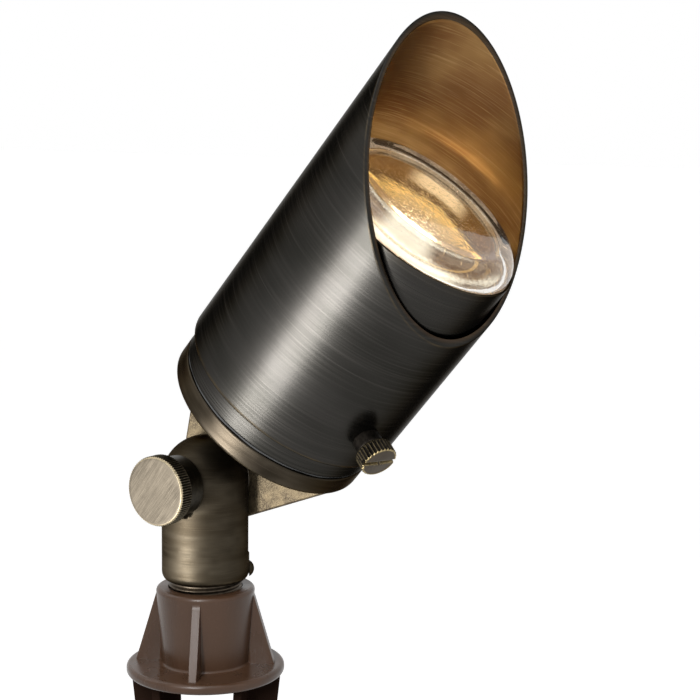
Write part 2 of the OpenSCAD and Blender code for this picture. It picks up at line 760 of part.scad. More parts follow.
// The leads from the fin's mouth up to the lamp holder
module holder_leads() {
    color([0.10, 0.10, 0.10]) in_head() for (s = [-1, 1]) translate([channel_off, s * lead_pitch, 0])
        cylinder(h = holder_back + lead_tail, r = lead_d / 2);
}

module wire_grommet() {
    body_h = cap_floor - over;
    color([0.07, 0.07, 0.07]) in_head() translate([channel_off, 0, cap_back + over]) difference() {
        union() {
            cylinder(h = body_h, r = grommet_r);
            translate([0, 0, body_h]) cylinder(h = grommet_lip, r = grommet_r + grommet_lip);
        }
        for (s = [-1, 1]) translate([0, s * lead_pitch, -over])
            cylinder(h = body_h + 3 * over, r = lead_d / 2 + run_gap / 2);
    }
}

ground_stake();
threaded_nipple();
knuckle_stem();
set_screw();
friction_washer();
supply_leads();
tilt_thumb_screw();
tilt_lock_nut();
rear_cap();
cap_gasket();
housing_body();
guard_o_ring();
glare_guard();
guard_screw_boss();
guard_thumb_screw();
lens();
lens_gasket();
lamp_reflector();
lamp_cover();
lamp_capsule();
lamp_base();
lamp_pins();
lamp_holder();
holder_bracket();
holder_screws();
holder_leads();
wire_grommet();
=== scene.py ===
"""Looks for an aged brass garden spotlight: turned and cast pieces, a moulded stake, glass and a lit lamp.

Every piece is a numpy surface in metres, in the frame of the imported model. The head's own frame has Z forward
along the head from the tilt pivot, X on its underside and Y along the tilt axis.
"""

import json
import math

import bpy
import numpy as np
from mathutils import Matrix, Vector


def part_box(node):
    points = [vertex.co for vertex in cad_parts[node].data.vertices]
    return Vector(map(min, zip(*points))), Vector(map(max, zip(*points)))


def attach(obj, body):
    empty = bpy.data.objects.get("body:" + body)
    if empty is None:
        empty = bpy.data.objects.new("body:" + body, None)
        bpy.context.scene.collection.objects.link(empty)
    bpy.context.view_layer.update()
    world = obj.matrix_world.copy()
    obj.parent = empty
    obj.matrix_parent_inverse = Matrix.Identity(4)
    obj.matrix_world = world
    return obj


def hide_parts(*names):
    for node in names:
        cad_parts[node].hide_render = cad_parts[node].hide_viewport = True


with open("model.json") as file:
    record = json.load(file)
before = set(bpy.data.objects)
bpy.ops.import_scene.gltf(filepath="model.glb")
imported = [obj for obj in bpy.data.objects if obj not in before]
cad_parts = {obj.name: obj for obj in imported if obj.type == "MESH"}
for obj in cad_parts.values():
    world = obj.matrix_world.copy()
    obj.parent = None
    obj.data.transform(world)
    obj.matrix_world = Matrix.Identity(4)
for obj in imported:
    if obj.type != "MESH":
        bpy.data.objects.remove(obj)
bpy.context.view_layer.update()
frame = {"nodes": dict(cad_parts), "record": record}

MM = 0.001
joints = {j["name"]: j for j in frame["record"]["behaviour"]["joints"]}
PIVOT = np.array(joints["head_tilt"]["pos_m"])
HEAD_POS = np.array(joints["guard_turn"]["pos_m"])
HEAD_Z = np.array(joints["guard_turn"]["axis"])
HEAD_Y = np.array([0.0, 1.0, 0.0])
HEAD_X = np.cross(HEAD_Y, HEAD_Z)
HEAD = np.stack([HEAD_X, HEAD_Y, HEAD_Z], axis=1)
HEAD_LEAN = math.atan2(HEAD_Z[0], HEAD_Z[2])
SCREW_Z = np.array(joints["guard_screw_turn"]["axis"])
SCREW_POS = np.array(joints["guard_screw_turn"]["pos_m"])
# How the stake, the guard and the lit filament stand turned in the photo
STAKE_TURN = math.radians(27.6)
GUARD_TURN = math.radians(-15.0)
# The filament's turn sets where the painted fans of light fall on the bore and the lens
FILAMENT_TURN = math.radians(-67.0)
# Columns round a turned piece
TURNS = 192


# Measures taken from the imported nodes

def head_span(node):
    """Lowest and highest place along the head's axis and the largest radius of a node, in mm."""
    mesh = frame["nodes"][node].data
    co = np.empty(len(mesh.vertices) * 3)
    mesh.vertices.foreach_get("co", co)
    local = (co.reshape(-1, 3) - HEAD_POS) @ HEAD / MM
    return local[:, 2].min(), local[:, 2].max(), np.hypot(local[:, 0], local[:, 1]).max()


def node_box_mm(node):
    """Lowest and highest corner of a node, in mm."""
    low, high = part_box(node)
    return np.array(low) / MM, np.array(high) / MM


guard_rear, guard_tip, guard_r = head_span("glare_guard")
cap_front, collar_rear, _ = head_span("cap_gasket")
_, housing_front, collar_r = head_span("housing_body")
lens_back, lens_front, lens_r = head_span("lens")
lamp_back, lamp_front, lamp_r = head_span("lamp_reflector")
hub_top = node_box_mm("knuckle_stem")[0][2] - 2.3
spike_tip = node_box_mm("ground_stake")[0][2]


# Frames: each takes points in mm and gives places in metres

def in_head(p):
    """The head's frame."""
    return p @ HEAD.T * MM + HEAD_POS


def at_pivot(p):
    """The knuckle's frame, upright, with its origin at the pivot."""
    return p * MM + PIVOT


def on_soil(p):
    """The stake's frame, turned about Z."""
    c, s = math.cos(STAKE_TURN), math.sin(STAKE_TURN)
    return p @ np.array([[c, s, 0], [-s, c, 0], [0, 0, 1]]) * MM


def along_tilt(p):
    """The tilt screw's frame: Z runs along +Y from the pivot."""
    return np.stack([p[..., 0], p[..., 2], -p[..., 1]], axis=-1) * MM + PIVOT


def on_guard_screw(p):
    """The guard screw's frame: Z runs outwards from the head's axis, X towards the head's rear."""
    return p @ np.stack([-HEAD_Z, np.cross(SCREW_Z, -HEAD_Z), SCREW_Z]) * MM + SCREW_POS


# Mesh builders

def in_scene(name, data):
    """A new object with this data."""
    obj = bpy.data.objects.new(name, data)
    bpy.context.scene.collection.objects.link(obj)
    return obj


def finish_mesh(name, verts, faces, place, body, mat, slot, replaces, values=None, finish_of_face=None):
    """Puts vertices and faces into one smooth object that rides on a body and stands for CAD nodes.

    Values are attributes of the vertices, filled up with 0 for the centres of a tube's ends. With a list of
    materials, finish_of_face says which of them each face takes.
    """
    mesh = bpy.data.meshes.new(name)
    mesh.from_pydata(place(verts).tolist(), [], faces)
    mesh.validate()
    for key, data in (values or {}).items():
        data = np.ravel(data).astype(np.float32)
        layer = mesh.attributes.new(key, "FLOAT", "POINT")
        layer.data.foreach_set("value", np.pad(data, (0, len(verts) - len(data))))
    mesh.shade_smooth()
    obj = in_scene(name, mesh)
    for one in mat if isinstance(mat, list) else [mat]:
        mesh.materials.append(one)
    if finish_of_face is not None:
        mesh.polygons.foreach_set("material_index", finish_of_face.astype(np.int32))
    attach(obj, body)
    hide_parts(*replaces)


def grid_faces(rows, cols, wrap_rows=False, wrap_cols=True):
    """Quads over a grid of rows by columns, each facing to the left of the way the rows and columns run."""
    r = np.arange(rows if wrap_rows else rows - 1)
    c = np.arange(cols if wrap_cols else cols - 1)
    rr, cc = np.meshgrid(r, c, indexing="ij")
    r2, c2 = (rr + 1) % rows, (cc + 1) % cols
    quads = np.stack([rr * cols + cc, rr * cols + c2, r2 * cols + c2, r2 * cols + cc], axis=-1)
    return quads.reshape(-1, 4).tolist()


def tube(grid, closed=False):
    """Vertices and faces of a grid with wrapped columns. Unless the rows close too, each end gets a fan."""
    rows, cols, _ = grid.shape
    verts = grid.reshape(-1, 3)
    faces = grid_faces(rows, cols, wrap_rows=closed)
    if closed:
        return verts, faces
    end, last = rows * cols, (rows - 1) * cols
    faces += [[end, (c + 1) % cols, c] for c in range(cols)]
    faces += [[end + 1, last + c, last + (c + 1) % cols] for c in range(cols)]
    return np.concatenate([verts, grid[[0, -1]].mean(axis=1)]), faces


def rounded(corners, closed=False, steps=5, hold=0.12):
    """A profile through corners (r, z, fillet): each corner becomes an arc of that radius.

    A point held a short way along each straight stretch keeps the shading of the flats true.
    """
    pts = np.array([c[:2] for c in corners], dtype=float)
    n = len(pts)
    path = []
    for i, (x, y, fillet) in enumerate(corners):
        here = np.array([x, y])
        if not closed and i in (0, n - 1):
            path.append(here)
            continue
        back = pts[i - 1] - here
        ahead = pts[(i + 1) % n] - here
        lb, la = np.linalg.norm(back), np.linalg.norm(ahead)
        back, ahead = back / lb, ahead / la
        half = math.acos(float(np.clip(back @ ahead, -1, 1))) / 2
        cut = min(fillet / math.tan(half), lb * 0.9, la * 0.9)
        radius = cut * math.tan(half)
        mid = back + ahead
        centre = here + mid / np.linalg.norm(mid) * math.hypot(radius, cut)
        start, end = here + back * cut, here + ahead * cut
        a0 = math.atan2(*(start - centre)[::-1])
        sweep = (math.atan2(*(end - centre)[::-1]) - a0 + math.pi) % (2 * math.pi) - math.pi
        arc = a0 + sweep * np.linspace(0, 1, steps + 1)
        if lb - cut > 3 * hold:
            path.append(start + back * hold)
        path += [centre + radius * np.array([math.cos(q), math.sin(q)]) for q in arc]
        if la - cut > 3 * hold:
            path.append(end + ahead * hold)
    return np.array(path)


def resample(profile, longest):
    """The profile with no step longer than a given length."""
    out = [profile[0]]
    for a, b in zip(profile[:-1], profile[1:]):
        parts = max(1, int(np.ceil(np.linalg.norm(b - a) / longest)))
        out += [a + (b - a) * k / parts for k in range(1, parts + 1)]
    return np.array(out)


def angles(turns):
    """Even steps round a full turn."""
    return np.arange(turns) * 2 * math.pi / turns


def polar(r, q, z):
    """A grid of points at radius r, angle q and height z."""
    x = r * np.cos(q)
    return np.stack([x, r * np.sin(q), np.broadcast_to(z, x.shape)], axis=-1)


def radii(grid):
    return np.hypot(grid[..., 0], grid[..., 1])


def angles_of(grid):
    return np.arctan2(grid[..., 1], grid[..., 0])


def turned(profile, turns=TURNS):
    """A profile (r, z) carried round Z, a column for each angle. It runs from low z outwards and up."""
    return polar(profile[:, 0, None], angles(turns), profile[:, 1, None])


def rounded_loop(half_x, half_y, fillet, steps=5, sides=6):
    """Points round rectangles with rounded corners, for arrays of half widths: one loop a row."""
    f = np.minimum(np.minimum(half_x, half_y), fillet)[:, None]
    flat_x, flat_y = half_x[:, None] - f, half_y[:, None] - f
    share = np.array([0.03, *np.linspace(0, 1, sides)[1:-1], 0.97])
    xs, ys = [], []
    corners = ((1, 1), (-1, 1), (-1, -1), (1, -1))
    for k, (sx, sy) in enumerate(corners):
        q = (np.linspace(0, 1, steps + 1) + k) * math.pi / 2
        x, y = sx * flat_x + f * np.cos(q), sy * flat_y + f * np.sin(q)
        # The arc, then the straight stretch to the next corner
        nx, ny = corners[(k + 1) % 4]
        next_x, next_y = nx * flat_x + f * np.cos(q[-1:]), ny * flat_y + f * np.sin(q[-1:])
        xs += [x, x[:, -1:] + (next_x - x[:, -1:]) * share]
        ys += [y, y[:, -1:] + (next_y - y[:, -1:]) * share]
    return np.concatenate(xs, axis=1), np.concatenate(ys, axis=1)


def join(*parts):
    """Several (vertices, faces) pairs as one."""
    verts, faces, first = [], [], 0
    for v, f in parts:
        verts.append(v)
        faces += [[i + first for i in face] for face in f]
        first += len(v)
    return np.concatenate(verts), faces


# Material helpers

class Nodes:
    """A node tree. Its methods add nodes and give back the output asked for."""

    def __init__(self, tree):
        self.tree = tree

    def put(self, socket, value):
        """Links a socket to an output, or sets it. A colour is given as red, green and blue."""
        if isinstance(value, bpy.types.NodeSocket):
            self.tree.links.new(value, socket)
        else:
            socket.default_value = (*value, 1.0) if socket.type == "RGBA" else value

    def add(self, kind, inputs=None, out=0, **settings):
        """A new node with its settings and inputs."""
        node = self.tree.nodes.new("ShaderNode" + kind)
        for key, value in settings.items():
            setattr(node, key, value)
        for key, value in (inputs or {}).items():
            self.put(node.inputs[key], value)
        return node.outputs[out]

    def math(self, operation, *values, clamp=False):
        return self.add("Math", dict(enumerate(values)), operation=operation, use_clamp=clamp)

    def times(self, a, b, clamp=False):
        return self.math("MULTIPLY", a, b, clamp=clamp)


class Finish(Nodes):
    """A node material with a Principled shader.

    place holds the object's coordinates in mm, in the named frame and from that frame's own origin.
    """

    def __init__(self, name, frame_name=None):
        self.mat = bpy.data.materials.new(name)
        self.mat.use_nodes = True
        super().__init__(self.mat.node_tree)
        self.tree.nodes.clear()
        self.shader = self.add("BsdfPrincipled").node
        out = self.tree.nodes.new("ShaderNodeOutputMaterial")
        self.put(out.inputs["Surface"], self.shader.outputs[0])
        if frame_name:
            turn, origin = {"world": (0, np.zeros(3)), "head": (-HEAD_LEAN, HEAD.T @ HEAD_POS),
                            "knuckle": (0, PIVOT)}[frame_name]
            self.place = self.add("Mapping", {
                "Vector": self.add("TexCoord", out=3), "Location": tuple(-origin / MM),
                "Rotation": (0, turn, 0), "Scale": (1 / MM,) * 3})

    def shade(self, inputs):
        """Sets the shader's own sockets and gives back the material."""
        for key, value in inputs.items():
            self.put(self.shader.inputs[key], value)
        return self.mat

    def ramp(self, value, low, high):
        """0 below low and 1 above high."""
        return self.add("MapRange", {"Value": value, "From Min": low, "From Max": high},
                        interpolation_type="SMOOTHSTEP")

    def mix(self, share, a, b):
        """Colour a where share is 0 and b where it is 1."""
        return self.add("Mix", {0: share, 6: a, 7: b}, out=2, data_type="RGBA")

    def mottle(self, value, low, high, a, b):
        """Colour a where a noise is below low and b where it is above high."""
        return self.mix(self.ramp(value, low, high), a, b)

    def noise(self, scale, detail, rough, place=None):
        return self.add("TexNoise", {
            "Vector": place or self.place, "Scale": scale, "Detail": detail, "Roughness": rough})

    def streaks(self, scales, detail, rough, place=None):
        """Noise whose coordinates are scaled one by one, so that it turns into streaks."""
        place = self.add("VectorMath", {0: place or self.place, 1: scales}, operation="MULTIPLY")
        return self.noise(1.0, detail, rough, place)

    def specks(self, scale):
        """Distance from the nearest of many scattered points."""
        return self.add("TexVoronoi", {"Vector": self.place, "Scale": scale, "Randomness": 1.0})

    def brushed(self, streak):
        """Brush lines that run round the axis, fine and wider: noise squeezed along it."""
        fine = self.streaks((streak, streak, 9.0), 3.0, 0.6)
        return fine, self.streaks((streak * 0.6, streak * 0.6, 2.6), 2.0, 0.5)

    def attribute(self, name):
        return self.add("Attribute", out=2, attribute_name=name)

    def bump(self, height, distance_mm, strength, **normal):
        return self.add("Bump", {
            "Height": height, "Distance": distance_mm * MM, "Strength": strength, **normal})

    def xyz(self):
        """The three parts of the place."""
        return self.add("SeparateXYZ", {0: self.place}).node.outputs

    def between(self, value, low, high, soft):
        """1 from low to high, fading over a soft edge inside each."""
        return self.times(self.ramp(value, low, low + soft), self.ramp(value, high, high - soft))


def tinted(colour, share):
    """A colour times a share, at most 1."""
    return tuple(min(1.0, share * part) for part in colour)


def round_lamp(f):
    """Distance from the head's axis in mm, and how much a point lies in the two fans beside the lit filament
    where light is painted on:
    half of 1 + cos 2(angle - filament's angle), with the double angle from x and y."""
    x, y, _ = f.xyz()
    xx, yy = f.times(x, x), f.times(y, y)
    square = f.math("ADD", xx, yy)
    turn = 2 * FILAMENT_TURN
    along = f.times(f.math("SUBTRACT", xx, yy), math.cos(turn))
    across = f.times(f.times(x, y), 2 * math.sin(turn))
    share = f.math("DIVIDE", f.math("ADD", along, across), f.math("MAXIMUM", square, 1.0))
    return f.math("SQRT", square), f.math("MULTIPLY_ADD", share, 0.5, 0.5)


# Finishes

GLASS_IOR = 1.49


def golden_inside(name, tone, rough, low, high, bright, painted_glow_rows=None):
    """Aged dark bronze, brushed round the head, with warm lines by the attribute wear, and satin golden brass
    by the attribute inside.

    Highlights stretch along the head's axis. On the inside, between two given heights along the axis and in the
    filament's fans, the wall has a painted glow (emission) that stands in for the lamp's light.
    """
    f = Finish(name, "head")
    fine, mid = f.brushed(0.05)
    cloud = f.streaks((0.035, 0.035, 0.06), 2.0, 0.5)
    base = f.mottle(cloud, 0.3, 0.7, tinted((0.026, 0.025, 0.022), tone), tinted((0.038, 0.036, 0.033), tone))
    base = f.mottle(mid, 0.45, 0.8, base, tinted((0.046, 0.043, 0.039), tone))
    base = f.mottle(fine, 0.58, 0.85, base, tinted((0.055, 0.052, 0.048), tone))
    broken = f.streaks((0.2, 0.2, 0.8), 3.0, 0.6)
    worn = f.times(f.attribute("wear"), f.ramp(broken, 0.25, 0.7), clamp=True)
    base = f.mix(f.times(worn, 0.7), base, (0.10, 0.073, 0.038))
    patches = f.streaks((0.03, 0.03, 0.05), 3.0, 0.55)
    gold = f.mottle(patches, 0.35, 0.68, low, high)
    gold = f.mottle(f.streaks((0.06, 0.06, 3.2), 3.0, 0.6), 0.46, 0.84, gold, bright)
    inside = f.attribute("inside")
    along_head = f.add("VectorTransform", {0: f.add("CombineXYZ", dict(enumerate(map(float, HEAD_Z))))},
                       vector_type="VECTOR", convert_from="OBJECT", convert_to="WORLD")
    rough = f.math("MULTIPLY_ADD", mid, 0.10, rough - 0.05)
    f.shade({"Base Color": f.mix(inside, base, gold), "Metallic": 1.0, "Specular Tint": (0.30, 0.29, 0.275),
             "Anisotropic": 0.6, "Anisotropic Rotation": 0.25, "Tangent": along_head,
             "Roughness": f.math("MULTIPLY_ADD", inside, 0.12, rough),
             "Normal": f.bump(f.math("ADD", fine, f.times(mid, 0.6)), 0.010, 0.5)})
    if painted_glow_rows:
        # Painted light: an emission glow on the inside wall in the filament's fans, standing in for the lamp
        # lighting it
        _, fan = round_lamp(f)
        lit = f.times(f.times(f.between(f.xyz()[2], *painted_glow_rows, 0.6), inside), f.ramp(fan, 0.84, 0.99))
        f.shade({"Emission Color": (1.0, 0.80, 0.50), "Emission Strength": f.times(lit, 1.1)})
    return f.mat


def aged_brass(name, frame_name, dark, light, rough, streak, edge, stretch=0.0):
    """Lighter aged brass, brushed round an axis, with brown stains and pale worn edges.

    With stretch, highlights spread round the piece and stay short along its upright axis.
    """
    f = Finish(name, frame_name)
    fine, mid = f.brushed(streak)
    base = f.mottle(f.streaks((0.05, 0.05, 0.30), 2.0, 0.5), 0.3, 0.7, dark, light)
    base = f.mottle(f.streaks((0.10, 0.10, 0.16), 2.0, 0.5), 0.45, 0.8, base, tinted(dark, 0.7))
    base = f.mottle(fine, 0.55, 0.85, base, tinted(light, 1.5))
    worn = f.times(f.attribute("wear"), f.ramp(f.noise(0.6, 4.0, 0.6), 0.3, 0.6), clamp=True)
    if stretch:
        up = f.add("CombineXYZ", {2: 1.0})
        f.shade({"Anisotropic": stretch, "Anisotropic Rotation": 0.25, "Tangent": up})
    return f.shade({
        "Base Color": f.mix(worn, base, edge), "Metallic": 1.0,
        "Specular Tint": (0.30, 0.27, 0.22),
        "Roughness": f.math("MULTIPLY_ADD", mid, 0.18, rough - 0.09),
        "Normal": f.bump(f.math("ADD", fine, mid), 0.014, 0.5)})


def cast_brass():
    """Rough cast, yellow-brown brass with pits and stains."""
    f = Finish("cast_brass", "head")
    grain = f.noise(2.4, 5.0, 0.7)
    base = f.mottle(f.noise(0.22, 4.0, 0.6), 0.35, 0.65, (0.055, 0.043, 0.029), (0.12, 0.093, 0.057))
    pits = f.bump(f.ramp(f.specks(1.1), 0.0, 0.5), 0.05, 0.5)
    return f.shade({
        "Base Color": f.mottle(grain, 0.45, 0.68, base, (0.165, 0.132, 0.083)), "Metallic": 1.0,
        "Roughness": f.ramp(grain, -0.8, 1.6), "Normal": f.bump(grain, 0.12, 0.6, Normal=pits)})


def screw_brass(name, face, side, edge):
    """Brushed light face, dark knurl and bright worn edges, by the attributes face and wear."""
    f = Finish(name, "knuckle")
    brush_way = f.add("Mapping", {"Vector": f.place, "Rotation": (0, math.radians(52), 0)})
    fine = f.streaks((0.12, 0.4, 8.0), 4.0, 0.65, brush_way)
    bright = f.mottle(f.noise(0.16, 3.0, 0.55), 0.3, 0.7, tinted(face, 0.72), face)
    bright = f.mottle(fine, 0.45, 0.70, bright, tinted(face, 1.5))
    grime = f.noise(0.9, 3.0, 0.6)
    dark = f.mottle(grime, 0.35, 0.7, side, tinted(side, 1.9))
    worn = f.times(f.attribute("wear"), f.ramp(grime, 0.2, 0.55), clamp=True)
    base = f.mix(f.attribute("face"), dark, bright)
    return f.shade({
        "Base Color": f.mix(worn, base, edge), "Metallic": 1.0,
        "Roughness": f.ramp(fine, -0.9, 2.2), "Normal": f.bump(fine, 0.012, 0.45)})


def stake_plastic():
    """Brown moulded plastic: semi-gloss and faintly mottled, with painted shade under the flange, where the
    legs take a dark colour and lose their gloss.
    """
    f = Finish("stake_plastic", "world")
    # Painted shade: below the flange's underside the colour turns dark and the specular gloss falls to 0
    above = f.ramp(f.xyz()[2], -1.2, -0.2)
    cloud = f.streaks((0.12, 0.12, 0.03), 3.0, 0.5)
    speck = f.noise(2.2, 3.0, 0.6)
    base = f.mottle(cloud, 0.3, 0.7, (0.043, 0.021, 0.0105), (0.054, 0.027, 0.0145))
    base = f.mottle(speck, 0.55, 0.8, base, (0.072, 0.036, 0.023))
    return f.shade({
        "Base Color": f.mix(above, (0.018, 0.010, 0.007), base),
        "Roughness": f.ramp(cloud, -0.6, 2.4),
        "Specular IOR Level": f.times(above, 0.34), "Normal": f.bump(speck, 0.02, 0.25)})


def plain(name, colour, rough, metallic=0.0, grain=0.5):
    """A simple finish with fine mottling in colour and height."""
    f = Finish(name, "world")
    mottle = f.noise(grain, 4.0, 0.6)
    return f.shade({
        "Base Color": f.mottle(mottle, 0.3, 0.7, tinted(colour, 0.75), tinted(colour, 1.25)),
        "Metallic": metallic, "Roughness": f.ramp(mottle, -rough / (1.01 - rough), 2.0),
        "Normal": f.bump(mottle, 0.02, 0.4)})


def lens_glass():
    """Clear pressed glass with a faint waviness and seeds."""
    f = Finish("lens_glass", "head")
    wave, seeds = f.noise(0.28, 3.0, 0.5), f.noise(1.9, 4.0, 0.7)
    waves = f.bump(wave, 0.10, 0.35)
    return f.shade({
        "Base Color": (0.97, 0.98, 0.96), "Transmission Weight": 1.0, "IOR": GLASS_IOR,
        "Roughness": f.times(f.ramp(seeds, 0.4, 0.8), 0.12),
        "Normal": f.bump(f.ramp(seeds, 0.55, 0.8), 0.05, 0.5, Normal=waves)})


def pebbled_glass():
    """The back of the lens: faintly pebbled, with painted glints in specks.

    All its emission is painted light, weighted by the Fresnel share so that it shows mostly where a ray can't
    leave the glass: a painted bright patch in the filament's fans, a painted pale rim outside radius 19.5 and a
    painted thin yellow line between.
    """
    f = Finish("lens_back_pebbled_painted_glow", "head")
    pebble = f.noise(1.1, 3.0, 0.6)
    # Painted glints: bright specks in the emission colour
    painted_glint = f.times(f.ramp(f.specks(0.8), 0.24, 0.08), f.ramp(pebble, 0.35, 0.6))
    colour = f.mix(painted_glint, (0.10, 0.045, 0.012), (1.0, 0.74, 0.40))
    radius, fan = round_lamp(f)
    # Painted light: a thin yellow line at radius 19.05 to 19.55, a pale rim outside 19.5 and a bright patch in
    # the filament's fans
    colour = f.mix(f.between(radius, 19.05, 19.55, 0.15), colour, (1.0, 0.60, 0.16))
    rim = f.times(f.ramp(radius, 19.5, 20.3), f.ramp(fan, 0.35, 0.7))
    patch = f.times(f.times(f.ramp(radius, 14.5, 16.4), f.ramp(radius, 19.4, 18.8)), f.ramp(fan, 0.74, 0.96))
    light = f.math("MAXIMUM", rim, patch)
    caught = f.add("Fresnel", {"IOR": GLASS_IOR})
    return f.shade({
        "Base Color": (1.0, 0.90, 0.74), "Transmission Weight": 1.0, "IOR": GLASS_IOR,
        "Roughness": 0.03, "Normal": f.bump(pebble, 0.03, 0.4),
        "Emission Color": f.mix(light, colour, (1.0, 0.93, 0.74)),
        "Emission Strength": f.times(caught, f.math("MULTIPLY_ADD", light, 0.42, 0.4))})


def ground_glass():
    """The seat of the lens: ground dull, grey-brown and speckled, with a painted glow (its own tone emitted)
    for light shining through from behind.
    """
    f = Finish("lens_seat_ground_painted_glow", "head")
    grain = f.noise(1.4, 4.0, 0.7)
    tone = f.mottle(f.noise(0.14, 2.0, 0.5), 0.35, 0.65, (0.16, 0.11, 0.072), (0.36, 0.28, 0.20))
    tone = f.mottle(grain, 0.52, 0.72, tone, (0.85, 0.72, 0.55))
    # Painted light: the speckled tone also glows at strength 0.5
    return f.shade({
        "Base Color": tone, "Transmission Weight": 0.4, "IOR": GLASS_IOR, "Roughness": 0.55,
        "Emission Color": tone, "Emission Strength": 0.5, "Normal": f.bump(grain, 0.15, 0.6)})


def lamp_mirror():
    """The lit reflector: warm brown coating, with painted glints in bright specks and a painted glow, strongest
    towards the capsule, that stands in for the capsule's light sent back by the mirror.
    """
    f = Finish("lamp_mirror", "head")
    radius, _ = round_lamp(f)
    warm = f.mottle(f.noise(0.22, 3.0, 0.55), 0.35, 0.65, (0.40, 0.20, 0.07), (0.70, 0.42, 0.18))
    # Painted glints: bright specks in the coating
    warm = f.mottle(f.specks(1.3), 0.28, 0.08, warm, (1.0, 0.82, 0.52))
    # Painted light: the glow rises from 1.6 at radius 24 mm and beyond to 10.6 near the capsule
    glow = f.math("MULTIPLY_ADD", f.ramp(radius, 24.0, 6.0), 9.0, 1.6)
    return f.shade({
        "Base Color": warm, "Metallic": 0.6, "Roughness": 0.35, "Emission Strength": glow,
        "Emission Color": f.mottle(radius, 4.0, 20.0, (1.0, 0.80, 0.48), warm)})


def lit_pane():
    """The lamp's cover: a diffusing pane lit by the lamp, hot in the middle and amber towards its rim, with
    painted glints in specks and a painted bright ring.
    """
    f = Finish("lamp_front", "head")
    radius, _ = round_lamp(f)
    amber = f.mottle(f.noise(0.25, 4.0, 0.6), 0.35, 0.65, (0.19, 0.078, 0.020), (0.36, 0.17, 0.055))
    # Painted glints: bright specks in the amber glow
    amber = f.mottle(f.specks(0.65), 0.26, 0.10, amber, (1.0, 0.80, 0.48))
    # Painted highlight: a bright ring between radius 22 and 24.2
    ring = f.between(radius, 22.0, 24.2, 0.5)
    amber = f.mix(ring, amber, (1.0, 0.64, 0.17))
    hot = f.times(f.ramp(radius, 10.5, 3.5), 26.0)
    return f.shade({
        "Base Color": (0.5, 0.42, 0.3), "Roughness": 0.4,
        "Emission Color": f.mottle(radius, 8.0, 15.0, (1.0, 0.86, 0.60), amber),
        "Emission Strength": f.math("ADD", hot, f.math("MULTIPLY_ADD", ring, 1.2, 0.8))})


def capsule_glow():
    """The lit capsule, with a slightly uneven glow."""
    f = Finish("capsule_glow", "head")
    colour = (1.0, 0.80, 0.50)
    glow = f.mix(f.noise(0.5, 2.0, 0.5), colour, (1.0, 0.95, 0.82))
    return f.shade({
        "Base Color": colour, "Roughness": 0.3, "Emission Color": glow, "Emission Strength": 60.0})


GUARD_BRONZE = golden_inside(
    "guard_bronze", 0.84, 0.25, (0.16, 0.075, 0.028), (0.27, 0.155, 0.058), (0.34, 0.21, 0.09))
# The housing's bore takes a painted glow between these two heights
BRONZE = golden_inside(
    "housing_bronze", 0.8, 0.27, (0.10, 0.055, 0.028), (0.22, 0.14, 0.075), (0.45, 0.34, 0.20),
    (lamp_front + 2.5, lens_back - 1.1))
CAP_BRASS = aged_brass(
    "cap_brass", "head", (0.028, 0.0225, 0.016), (0.050, 0.041, 0.030), 0.38, 0.05, (0.20, 0.165, 0.11))
KNUCKLE_BRASS = aged_brass(
    "knuckle_brass", "knuckle", (0.028, 0.022, 0.0145), (0.045, 0.037, 0.026), 0.41, 0.08,
    (0.11, 0.085, 0.05), 0.70)
CAST_BRASS = cast_brass()
THUMB_BRASS = screw_brass(
    "thumb_screw_brass", (0.098, 0.083, 0.063), (0.020, 0.017, 0.012), (0.42, 0.35, 0.23))
GUARD_SCREW_BRASS = screw_brass(
    "guard_screw_brass", (0.060, 0.048, 0.034), (0.020, 0.017, 0.014), (0.34, 0.27, 0.14))
NIPPLE_BRASS = plain("nipple_brass", (0.085, 0.068, 0.050), 0.5, 1.0, 0.8)
PLASTIC = stake_plastic()
RUBBER = plain("rubber_black", (0.012, 0.012, 0.012), 0.7)
FIBRE = plain("washer_fibre", (0.30, 0.27, 0.22), 0.8, 0.0, 1.5)
LEAD_COVER = plain("lead_cover", (0.02, 0.02, 0.02), 0.45)
CERAMIC = plain("lamp_ceramic", (0.70, 0.66, 0.58), 0.6)
STEEL = plain("bracket_steel", (0.55, 0.55, 0.55), 0.4, 1.0)
GLASS, PEBBLED_PAINTED_GLOW, GROUND_PAINTED_GLOW = lens_glass(), pebbled_glass(), ground_glass()
MIRROR_PAINTED_GLOW, LIT_PANE, CAPSULE_GLOW = lamp_mirror(), lit_pane(), capsule_glow()


# Sizes of single pieces, in mm

CAP_BACK = cap_front - 6.3
CAP_FLOOR = 4.0
CAP_BORE_R = 25.7
SPIGOT_LEN = 8.0
COLLAR_LEN = 36.6
LAMP_BORE_R = 26.0
GASKET_IN_R = 25.8
FIN_EYE_R = 13.8
FIN_T = 5.6
FIN_FLARE = math.radians(28.9)
GUARD_SHORT = 46.3
GUARD_WALL = 1.5
BOSS_R = 3.8
BOSS_H = 3.4
LAP_Y = 5.3
LAP_DEPTH = 21.2
LAP_FALL = math.radians(9.5)
KNUCKLE_R = 12.4
FOOT_Z = -28.75
SHOULDER_Y = -11.4
SHANK_R = 2.9
NUT_LOW = 11.35
NUT_H = 3.2
THREAD_PITCH = 1.0


# Glare guard

